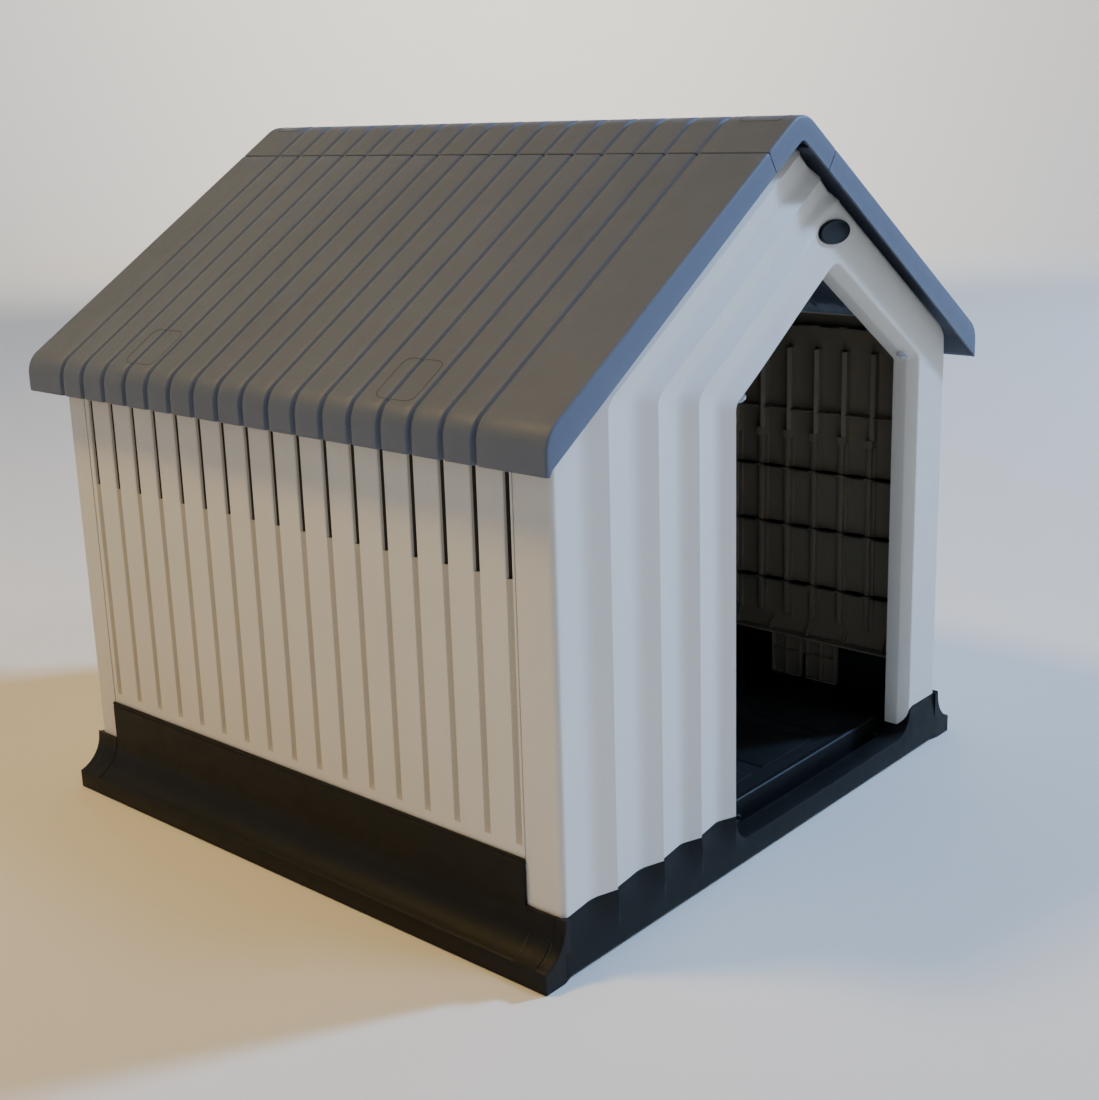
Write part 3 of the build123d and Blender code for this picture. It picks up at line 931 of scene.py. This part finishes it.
def fb_cap(s):
    lim = L_CAPA + L_CAPS
    t = abs(s) / lim
    sg = 1 if s >= 0 else -1
    # inner arch: 13 mm radius at the top, then down the slope line
    L1 = 13 * math.radians(33.5)
    L2 = (59.4 - 13 * S) / C
    u = t * (L1 + L2)
    zc = 932.5 - 13 / C
    if u <= L1:
        a = math.radians(90) - u / 13
        return sg * 13 * math.cos(a), zc + 13 * math.sin(a)
    x = 13 * S + (u - L1) * C
    return sg * x, 932.5 - T * x


LC = L_CAPA + L_CAPS - 0.9
cs = [(-LC, 2.6), (-LC + 0.4, 1.0), (-LC + 1.4, 0.2), (-LC + 3, 0.0)]
cs += [(float(v), 0.0) for v in np.linspace(-LC + 14, -L_CAPA - 4, 4)] + [(float(v), 0.0) for v in np.linspace(-L_CAPA, L_CAPA, 15)]
cs += [(float(v), 0.0) for v in np.linspace(L_CAPA + 4, LC - 14, 4)]
cs += [(LC - 3, 0.0), (LC - 1.4, 0.2), (LC - 0.4, 1.0), (LC, 2.6)]
cap = roof_shell("ridge_cap_shell", cap_at, cs, lambda s: 4.3, lambda s: 3.0 + 1.0 * (1 - sstep(5, 40, abs(s))), fb_cap, 0, M_ROOF)
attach(right_panel, "roof")
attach(left_panel, "roof")
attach(cap, "cap")
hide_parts("right_roof_panel")
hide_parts("left_roof_panel")
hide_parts("ridge_cap")


def groove_depth(y, s, hw, dp):
    for yc in GROOVE_Y:
        u = (y - yc) / hw
        if -1.15 < u < 1.08:
            return float(np.interp(u, [g[0] for g in GP], [g[1] for g in GP])) * dp
    return 0.0


def outline(name, at, s0, s1, y0, y1, r, body, hw, dp, sgx=1, skew=0.0):
    """Thin moulded witness line: a rounded rectangle that follows the roof skin."""
    pts = []
    cs_ = [(s1 - r, y1 - r, 0), (s0 + r, y1 - r, 90), (s0 + r, y0 + r, 180), (s1 - r, y0 + r, 270)]
    raw = []
    for cx, cy, a0 in cs_:
        for k in range(6):
            a = math.radians(a0 + 90 * k / 5)
            raw.append((cx + r * math.cos(a), cy + r * math.sin(a)))
    raw = subdivide(raw + [raw[0]], 1.6)[:-1]
    for s, y in raw:
        x, z, nx, nz = at(s)
        d = groove_depth(y, s, hw(s), dp(s)) + 0.12
        pts.append((sgx * (x - nx * d), y, z - nz * d))
    vs_, fs_ = tube(pts, 0.5, 6, True)
    o = finish_mesh(new_obj(name, vs_, fs_, M_MARK), 60)
    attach(o, body)
    return o


# ------------------------------------------------------------------ side walls
def side_wall(name, sg):
    y0, y1 = -406.0, 418.0
    cols = [(y0, "e0"), (y0, "e1"), (y0 + 0.5, "e2"), (y0 + 2.0, "p")]
    for i, yc in enumerate(SLOT_Y):
        for off, kind in ((-10.0, "p"), (-9.0, "ed"), (-8.75, "s3"), (-6.0, "s2"), (-3.2, "s1"), (-1.8, "r3"), (-0.2, "r2"), (1.4, "r1"), (2.4, "r0"), (4.0, "p")):
            cols.append((yc + off, kind))
        if i < 16:
            cols += [(yc + 18, "p"), (yc + 27, "p"), (yc + 36, "p")]
    cols += [(y1 - 2.0, "p"), (y1 - 0.5, "e2"), (y1, "e1"), (y1, "e0")]
    rows = [54.0, 54.8, 57.0, 100.0, 126.0, 147.0, 149.5, 150.4, 151.5, 153.0, 156.0, 162.0, 200.0, 260.0, 320.0, 380.0, 430.0, 448.0, 456.0, 463.0,
            468.6, 469.9, 470.3, 472.0, 478.0, 486.0, 500.0, 530.0, 545.0, 575.0, 598.0, 601.6, 602.0, 606.0, 612.0, 625.0, 648.0, 656.0, 659.2, 660.0]
    V = []
    low = {"r0": 0.0, "r1": 0.3, "r2": 0.85, "r3": 1.6, "s1": 2.3, "s2": 3.3, "s3": 3.6, "ed": 0.0}
    deep = {"r0": 0.05, "r1": 1.0, "r2": 3.2, "r3": 6.5, "s1": 10.0, "s2": 17.0, "s3": 14.0, "ed": 0.1}
    for z in rows:
        gr = sstep(150.4, 156.5, z) * (1 - sstep(601.0, 612.0, z))
        for y, k in cols:
            d = 0.0
            if k in low:
                d = deep[k] if 470.2 <= z <= 601.7 else low[k] * gr
            if k == "e0":
                d = 13.0
            elif k == "e1":
                d = 1.0
            elif k == "e2":
                d = 0.3
            if z <= 54.0:
                d = max(d, 2.0)
            elif z < 56:
                d = max(d, 0.4)
            if z >= 660.0:
                d = max(d, 2.4)
            elif z > 659:
                d = max(d, 0.5)
            V.append((sg * (WX - d), y, z))
    o = new_obj(name, V, grid_faces(len(rows), len(cols)), M_WALL)
    # near-black slot plastic: painted shade in the deep slots
    o.data.materials.append(M_SLOT_SHADE)
    # darker groove plastic: painted shade in the grooves
    o.data.materials.append(M_GROOVE_SHADE)
    # faces in each groove take the groove plastic and the deep slot faces the slot plastic: both are painted shade
    for q in o.data.polygons:
        off = min((q.center.y * 1000 - yc for yc in SLOT_Y), key=abs)
        if -9.0 < off < 1.3 and 0.1500 < q.center.z < 0.612:
            deepest = max(WX - abs(o.data.vertices[i].co.x) * 1000 for i in q.vertices)
            q.material_index = 1 if deepest > 5.0 and 0.469 < q.center.z < 0.603 else 2
    p = max(o.data.polygons, key=lambda q: q.area * abs(q.normal.x))
    if p.normal.x * sg < 0:
        o.data.flip_normals()
    # the inner faces take the darker inner plastic: painted shade
    for m in (M_WALL_IN_SHADE, M_WALL_IN_SHADE, M_WALL_IN_SHADE):
        o.data.materials.append(m)
    solidify(o, 2.6).modifiers["wall"].material_offset = 3
    finish_mesh(o, 30.0, recalc=False)
    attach(o, "house")
    # inner ribs, a bottom flange and the ribbed clip tabs
    bag = Bag()

    def xb(a, b):
        return sorted((sg * a, sg * b))

    for z in (214.0, 311.0, 406.0, 503.0, 640.0):
        if z != 503.0:
            x0, x1 = xb(427.0, 440.6)
            bag.box((x0, y0 + 8, z - 1.4), (x1, y1 - 8, z + 1.4), 0.6)
        x0, x1 = xb(427.0, 443.4)
        for a, b in zip([y0 + 20.0] + list(SLOT_Y), list(SLOT_Y) + [y1 - 2.0]):
            if b - a > 24:
                bag.box((x0, a + 3.2, z - 1.4), (x1, b - 10.4, z + 1.4), 0.6)
    x0, x1 = xb(425.2, 443.5)
    bag.box((x0, y0 + 6, 124.0 - 2), (x1, y1 - 6, 124.0 + 1.5), 0.8)
    for yc in SLOT_Y:
        x0, x1 = xb(434.5, 441.0)
        bag.box((x0, yc - 4.5, 156.0), (x1, yc + 4.5, 470.0), 1.6)
        x0, x1 = xb(425.6, 441.0)
        bag.box((x0, yc - 10.0, 456.0), (x1, yc + 3.4, 469.3), 1.6)
    for yc in (-234.0, 234.0):
        for h0, h1 in ((yc - 61.0, yc - 5.0), (yc + 5.0, yc + 61.0)):
            x0, x1 = xb(435.0, 437.4)
            bag.box((x0, h0, 54.5), (x1, h1, 126.0), 0.8)
            x0, x1 = xb(425.6, 436.4)
            for yy in (h0 + 1.4, (h0 + h1) / 2, h1 - 1.4):
                bag.box((x0, yy - 1.4, 55.0), (x1, yy + 1.4, 125.5), 0.6)
            for zz in (56.2, 97.0, 124.0):
                bag.box((x0, h0 + 0.2, zz - 1.3), (x1, h1 - 0.2, zz + 1.3), 0.6)
        x0, x1 = xb(433.0, 437.4)
        bag.box((x0, yc - 6.0, 96.0), (x1, yc + 6.0, 125.5), 0.8)
    # sloping gussets over the bottom flange
    for k in range(12):
        yy = y0 + 30 + k * 69.5
        pts = [(442.0, 127.0), (427.5, 127.0), (442.0, 150.0)]
        bag.add(prism([(sg * a_, b_) for a_, b_ in (pts if sg > 0 else pts[::-1])], 1, yy - 1.3, yy + 1.3))
    # ribs, flange and tabs take the darker inner plastic: painted shade
    q = bag.obj(name + "_ribs", M_WALL_IN_SHADE)
    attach(q, "house")
    return o, q


rw, rwr = side_wall("right_side_panel", 1)
lw, lwr = side_wall("left_side_panel", -1)
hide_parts("right_side_wall")
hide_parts("left_side_wall")

# ------------------------------------------------------------------ base tray
def skirt_profile():
    """Outer line of the skirt from the upstand top down to the foot (x, z)."""
    p = [(446.2, 136.0), (447.6, 136.0), (448.6, 135.6), (449.0, 134.6), (449.0, 131.9), (448.2, 131.3), (448.2, 130.5), (449.0, 129.9),
         (449.1, 118.0), (449.1, 100.0), (449.1, 86.0), (449.1, 78.0)]
    # three-point arc
    ax, az, bx, bz, cx, cz = 449.0, 78.0, 458.5, 45.0, 484.6, 26.6
    d = 2 * (ax * (bz - cz) + bx * (cz - az) + cx * (az - bz))
    ux = ((ax * ax + az * az) * (bz - cz) + (bx * bx + bz * bz) * (cz - az) + (cx * cx + cz * cz) * (az - bz)) / d
    uz = ((ax * ax + az * az) * (cx - bx) + (bx * bx + bz * bz) * (ax - cx) + (cx * cx + cz * cz) * (bx - ax)) / d
    R = math.hypot(ax - ux, az - uz)
    a0, a1 = math.atan2(az - uz, ax - ux), math.atan2(cz - uz, cx - ux)
    if a1 < a0 - math.pi:
        a1 += 2 * math.pi
    if a1 > a0 + math.pi:
        a1 -= 2 * math.pi
    for k in range(1, 15):
        a = a0 + (a1 - a0) * k / 14
        p.append((ux + R * math.cos(a), uz + R * math.sin(a)))
    p += [(485.2, 26.0), (485.5, 25.2), (485.5, 12.0), (485.5, 1.4), (484.6, 0.4)]
    return p


def tray_skirt(name, sg):
    prof = skirt_profile()
    n_up = 9                                   # rows above the notch level
    ys = [-469.0, -468.4, -467.0, -464.0, -440.0, -409.0, -407.2]
    pads = ((-452.0, -420.0), (420.0, 452.0))
    base = sorted(set(ys + [-406.4, -404.8, -402.0] + [float(v) for v in np.linspace(-380, 400, 14)] + [416.8, 418.4, 419.2, 421.0, 440.0, 464.0, 467.0, 468.4, 469.0]))
    extra = []
    for a, b in pads:
        extra += [a - 0.5, a + 0.3, a + 1.6, b - 1.6, b - 0.3, b + 0.5]
    ys = sorted(set(base + extra))
    V = []
    for i, (x, z) in enumerate(prof):
        for y in ys:
            d = 0.0
            for a, b in pads:
                if a < y < b and 11 <= i <= 25:
                    d = 1.1
            # outward normal of the profile, flattened for the pads
            j0, j1 = max(0, i - 1), min(len(prof) - 1, i + 1)
            tx, tz = prof[j1][0] - prof[j0][0], prof[j1][1] - prof[j0][1]
            L = math.hypot(tx, tz)
            nx, nz = -tz / L, tx / L
            if nx < 0 and abs(nx) > 0.2:
                nx, nz = -nx, -nz
            ex = 0.0
            if abs(abs(y) - 469.0) < 0.01:
                ex = 2.0
            elif abs(abs(y) - 468.4) < 0.01:
                ex = 0.7
            elif abs(abs(y) - 467.0) < 0.01:
                ex = 0.1
            V.append((sg * (x + nx * (d - ex)), y, z + nz * (d - ex)))
    nj = len(ys)
    mask = []
    for i in range(len(prof) - 1):
        up = prof[i + 1][1] > 77.0
        r = []
        for j in range(nj - 1):
            mid = (ys[j] + ys[j + 1]) / 2
            r.append(not (up and (mid < -406.8 or mid > 418.8)))
        mask.append(r)
    o = new_obj(name, V, grid_faces(len(prof), nj, mask), M_TRAY)
    drop_loose(o)
    p = max(o.data.polygons, key=lambda q: q.area)
    if p.normal.x * sg < 0:
        o.data.flip_normals()
    solidify(o, 3.4)
    finish_mesh(o, 30.0, recalc=False)
    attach(o, "house")
    return o


def fascia_top(x):
    """Top line of the front fascia with the sill recess."""
    xl0, xl1 = -107.0, -77.0
    xr0, xr1 = 318.0, 363.0
    if x <= xl0 or x >= xr1:
        return FASCIA_TOP
    if x < xl1:
        t = (x - xl0) / (xl1 - xl0)
        return 36.0 + 41.0 * (1 - math.sin(math.acos(max(0.0, 1 - t)))) if t < 1 else 36.0
    if x > xr0:
        t = (xr1 - x) / (xr1 - xr0)
        return 36.0 + 41.0 * (1 - math.sin(math.acos(max(0.0, 1 - t)))) if t < 1 else 36.0
    return 35.0 + 1.0 * (abs(x - 108) / 204.0) ** 2


def fascia(name, front):
    xs = set(float(v) for v in np.linspace(-448.4, 448.4, 60))
    for k in range(5):
        for o_ in (0.0, 0.4, 0.8, 1.2, 1.6, 3.0, 6.0, -3.0, -7.0, -12.0, -18.0):
            xs.add(CX[k] + o_)
    if front:
        xs |= set(float(v) for v in np.linspace(-106.8, -76, 16)) | set(float(v) for v in np.linspace(317, 362.8, 18))
    xs = sorted(v for v in xs if -448.5 < v < 448.5)
    V, rows = [], None
    for x in xs:
        zt = fascia_top(x) if front else FASCIA_TOP
        y_top = -465.0 - wave(x, x)
        if front and x > -107.0:
            y_top = -465.0 - (wave(-107.0, -107.0)) * (1 - sstep(-107.0, -80.0, x)) - 2.2 * sstep(-107.0, -80.0, x) * (1 - sstep(350.0, 380.0, x))
        y_top = max(-469.6, y_top)
        y_bot = -469.2
        loop = [(-462.0, 5.0), (-467.6, 5.0), (y_bot, 6.6)]
        for t in (0.12, 0.25, 0.4, 0.55, 0.7, 0.82, 0.92):
            z = 6.6 + (zt - 6.6) * t
            f = sstep(0.30, 1.0, t)
            loop.append((y_bot + (y_top - y_bot) * f, z))
        loop += [(y_top, zt - 1.6), (y_top + 0.5, zt - 0.5), (y_top + 1.6, zt)]
        loop += [(-450.0, zt), (-434.0, zt), (-432.6, zt - 0.5), (-432.0, zt - 1.8), (-432.0, 14.0), (-450.0, 12.0)]
        rows = len(loop)
        V += [(x, (p[0] if front else -p[0]), p[1]) for p in loop]
    faces = []
    n = len(xs)
    for i in range(n - 1):
        for j in range(rows):
            k = (j + 1) % rows
            faces.append([i * rows + j, (i + 1) * rows + j, (i + 1) * rows + k, i * rows + k])
    faces.append([j for j in range(rows)])
    faces.append([(n - 1) * rows + j for j in range(rows)][::-1])
    o = finish_mesh(new_obj(name, V, faces, M_TRAY), 32.0)
    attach(o, "house")
    return o


tf = fascia("base_front_fascia", True)
tb = fascia("base_back_fascia", False)
tr = tray_skirt("base_right_skirt", 1)
tl = tray_skirt("base_left_skirt", -1)
floor_bag = Bag()
floor_bag.box((-432, -404, 44), (432, 404, 49.5), 1.5)
floor_bag.box((-430, -414, 12), (430, -405, 54.5), 3.2, 4)          # front floor lip
floor_bag.box((-430, 405, 12), (430, 414, 54.5), 3.2, 4)
floor_bag.box((-431, -433, 8), (431, -404, 13), 1.0)                 # channel bottoms
floor_bag.box((-431, 404, 8), (431, 433, 13), 1.0)
for sg in (-1, 1):
    x0, x1 = sorted((sg * 438.0, sg * 441.6))
    floor_bag.box((x0, -404, 40), (x1, 404, 121.5), 1.2)             # inner upstand
    x0, x1 = sorted((sg * 426.0, sg * 440.0))
    floor_bag.box((x0, -404, 44), (x1, 404, 52.5), 1.0)
    for yy in np.linspace(-380, 380, 20):
        x0, x1 = sorted((sg * 430.0, sg * 447.5))
        floor_bag.box((x0, yy - 1.2, 20), (x1, yy + 1.2, 52), 0.5)
    for s2 in (-1, 1):                                               # foot end faces
        poly = [(449.4, 5.0)] + [(449.2, 74.0)] + [p for p in [(q[0] - 0.5, q[1] - 0.6) for q in skirt_profile()[12:27]]] + [(484.4, 20.0), (484.4, 0.3), (452.0, 0.3)]
        poly = [(440.0, 5.0), (440.0, 76.2), (447.8, 76.2)] + poly[2:]
        yy = (-468.8, -464.5) if s2 < 0 else (464.5, 468.8)
        floor_bag.add(prism([(sg * a, b) for a, b in (poly if sg > 0 else poly[::-1])], 1, *yy))
# shallow floor pads
for i in range(5):
    for j in range(5):
        cx_, cy_ = -320 + i * 160, -312 + j * 156
        floor_bag.box((cx_ - 66, cy_ - 64, 47.0), (cx_ + 66, cy_ + 64, 50.9), 1.2)
fl = floor_bag.obj("base_floor", M_TRAY, 30)
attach(fl, "house")
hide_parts("base_tray")


def foot_at(s):
    """Point and outward normal of the skirt flare, s millimetres up from the toe."""
    p = sorted([q for q in skirt_profile() if 26.5 <= q[1] <= 78.0 and q[0] <= 484.7], key=lambda q: -q[0])
    for (xa, za), (xb_, zb) in zip(p, p[1:]):
        L = math.hypot(xb_ - xa, zb - za)
        if L < 1e-6:
            continue
        if s <= L or (xb_, zb) == p[-1]:
            t = s / L
            return xa + (xb_ - xa) * t, za + (zb - za) * t, (zb - za) / L, -(xb_ - xa) / L
        s -= L
    return p[0][0], p[0][1], 0.7, 0.7


for side, sg in (("left", -1), ("right", 1)):
    for tag, a, b in (("front", -452.0, -420.0), ("rear", 420.0, 452.0)):
        outline(side + "_foot_outline_" + tag, foot_at, 5.0, 40.0, a - 1.8, b + 1.8, 6.0, "house", lambda s: 5.0, lambda s: 0.0, sg)
# ------------------------------------------------------------------ small pieces
for tag, yy in (("a", -246.0), ("b", 247.0)):
    outline("left_roof_outline_" + tag, roof_at, 399.0, 467.0, yy - 32.0, yy + 32.0, 12.0, "roof", panel_hw, panel_dp, -1)
    outline("right_roof_outline_" + tag, roof_at, 399.0, 467.0, yy - 32.0, yy + 32.0, 12.0, "roof", panel_hw, panel_dp, 1)
for tag, y0, y1 in (("front", -474.0, -412.0), ("rear", 416.0, 474.0)):
    outline("ridge_outline_" + tag, cap_at, -23.0, 23.0, y0, y1, 8.0, "cap", lambda s: 4.3, lambda s: 3.0)

bv, bf = lathe([(0.0, 0.0), (0.985, 0.0), (1.0, 0.5), (1.0, 3.2), (0.985, 4.4), (0.95, 5.0), (0.90, 5.2), (0.87, 4.9), (0.84, 4.85), (0.5, 5.1), (0.0, 5.2)], (0, 0, 0), (0, 0, 1), 64)
badge = finish_mesh(new_obj("oval_badge", [(119.0 + v[0] * 37.0, -464.0 - (v[2] - 0.8), 812.0 + v[1] * 16.0) for v in bv], bf, M_BADGE), 35)
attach(badge, "house")
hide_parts("front_badge")

studs = Bag()
for sx in (-1, 1):
    # two clear snap discs under the sloping head of the doorway
    sp = lathe([(0.0, 0.0), (7.6, 0.0), (8.4, 0.8), (8.4, 2.2), (7.2, 3.4), (5.2, 3.6), (4.6, 2.9), (2.4, 2.9), (1.9, 6.6), (0.0, 7.0)],
               (DOOR_CX + sx * 206.0, -452.0, 623.4), (-sx * S, 0.0, -C), 36)
    studs.add(sp)
studs_o = studs.obj("doorway_snap_discs", M_CLEAR, 35)
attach(studs_o, "house")
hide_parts("doorway_studs")

# ------------------------------------------------------------------ materials on the remaining nodes
for key, mat in (("base_tray", M_TRAY), ("left_side_wall", M_WALL), ("right_side_wall", M_WALL),
                 ("left_roof_panel", M_ROOF), ("right_roof_panel", M_ROOF), ("ridge_cap", M_ROOF),
                 ("sill_push_pins", M_PIN),
                 ("front_wall", M_WALL), ("back_wall", M_WALL)):
    o = NODES[key]
    obs = o if isinstance(o, (list, tuple)) else [o]
    for ob in obs:
        if getattr(ob, "type", "") == "MESH":
            ob.data.materials.clear()
            ob.data.materials.append(mat)

# ------------------------------------------------------------------ camera, lights, stage
scene = bpy.context.scene
cam_data = bpy.data.cameras.new("cam")
cam = bpy.data.objects.new("cam", cam_data)
scene.collection.objects.link(cam)
right = Vector((0.641958, -0.766377, -0.023569))
down = Vector((-0.201767, -0.139195, -0.969492))
fwd = Vector((0.739716, 0.627129, -0.243987))
eye = Vector((-1.61925, -1.50832, 0.95874))
cam.matrix_world = Matrix(((right.x, -down.x, -fwd.x, eye.x),
                           (right.y, -down.y, -fwd.y, eye.y),
                           (right.z, -down.z, -fwd.z, eye.z),
                           (0, 0, 0, 1)))
cam_data.sensor_width = 36.0
cam_data.sensor_fit = "AUTO"
cam_data.lens = 49.9516
cam_data.shift_x = -0.034124
cam_data.shift_y = -0.040822
cam_data.clip_start = 0.05
scene.camera = cam


def plain(name, color, rough=0.9):
    m = bpy.data.materials.new(name)
    m.use_nodes = True
    nt = m.node_tree
    b = nt.nodes["Principled BSDF"]
    tc = node(nt, "ShaderNodeTexCoord", -800, 0)
    n = node(nt, "ShaderNodeTexNoise", -600, 0)
    n.inputs["Scale"].default_value = 3.0
    nt.links.new(tc.outputs["Object"], n.inputs["Vector"])
    mx = node(nt, "ShaderNodeMix", -300, 0, data_type="RGBA")
    nt.links.new(n.outputs["Fac"], mx.inputs[0])
    mx.inputs[6].default_value = (*[c * 0.995 for c in color], 1)
    mx.inputs[7].default_value = (*color, 1)
    nt.links.new(mx.outputs[2], b.inputs["Base Color"])
    b.inputs["Roughness"].default_value = rough
    b.inputs["Specular IOR Level"].default_value = 0.1
    return m


prof = [(0.0, 0.0), (3000.0, 0.0), (7000.0, 0.0), (10000.0, 0.0)]
prof += [(10000 + 2000 * math.sin(math.radians(a)), 2000 * (1 - math.cos(math.radians(a)))) for a in range(10, 91, 10)] + [(12000.0, 9000.0)]
vs, fs, N = [(0.0, 0.0, 0.0)], [], 72
for r, h in prof[1:]:
    vs += [(r * math.cos(2 * math.pi * k / N), r * math.sin(2 * math.pi * k / N), h) for k in range(N)]
fs += [(0, 1 + k, 1 + (k + 1) % N) for k in range(N)]
for i in range(len(prof) - 2):
    fs += [(1 + i * N + k, 1 + (i + 1) * N + k, 1 + (i + 1) * N + (k + 1) % N, 1 + i * N + (k + 1) % N) for k in range(N)]
floor = new_obj("floor", vs, fs, plain("floor_pale", (0.86, 0.79, 0.67)))
for p in floor.data.polygons:
    p.use_smooth = True


def area(name, loc, target, size, power, color):
    d = bpy.data.lights.new(name, "AREA")
    d.shape = "DISK"
    d.size = size
    d.energy = power
    d.color = color
    o = bpy.data.objects.new(name, d)
    o.location = loc
    o.rotation_euler = (Vector(target) - Vector(loc)).to_track_quat("-Z", "Y").to_euler()
    scene.collection.objects.link(o)
    return o


area("key", (8.0, -5.2, 6.2), (0.0, -0.3, 0.45), 1.3, 1760.0, (0.36, 0.59, 1.08))
area("fill", (-2.1, 1.5, 4.4), (-0.3, 0.0, 0.4), 1.0, 150.0, (1.0, 0.70, 0.26))
area("backdrop_wash", (5.4, 5.0, 4.4), (10.5, 9.8, 2.2), 3.0, 420.0, (1.0, 0.95, 0.88))
area("top", (0.8, -2.8, 4.6), (0.0, 0.0, 0.6), 1.2, 58.0, (0.52, 0.70, 1.0))

w = bpy.data.worlds.new("studio")
scene.world = w
w.use_nodes = True
nt = w.node_tree
for n in list(nt.nodes):
    nt.nodes.remove(n)
out = node(nt, "ShaderNodeOutputWorld", 400, 0)
bg1 = node(nt, "ShaderNodeBackground", 0, 0)
bg1.inputs[0].default_value = (1.0, 0.93, 0.82, 1)
bg1.inputs[1].default_value = 0.02
nt.links.new(bg1.outputs[0], out.inputs[0])
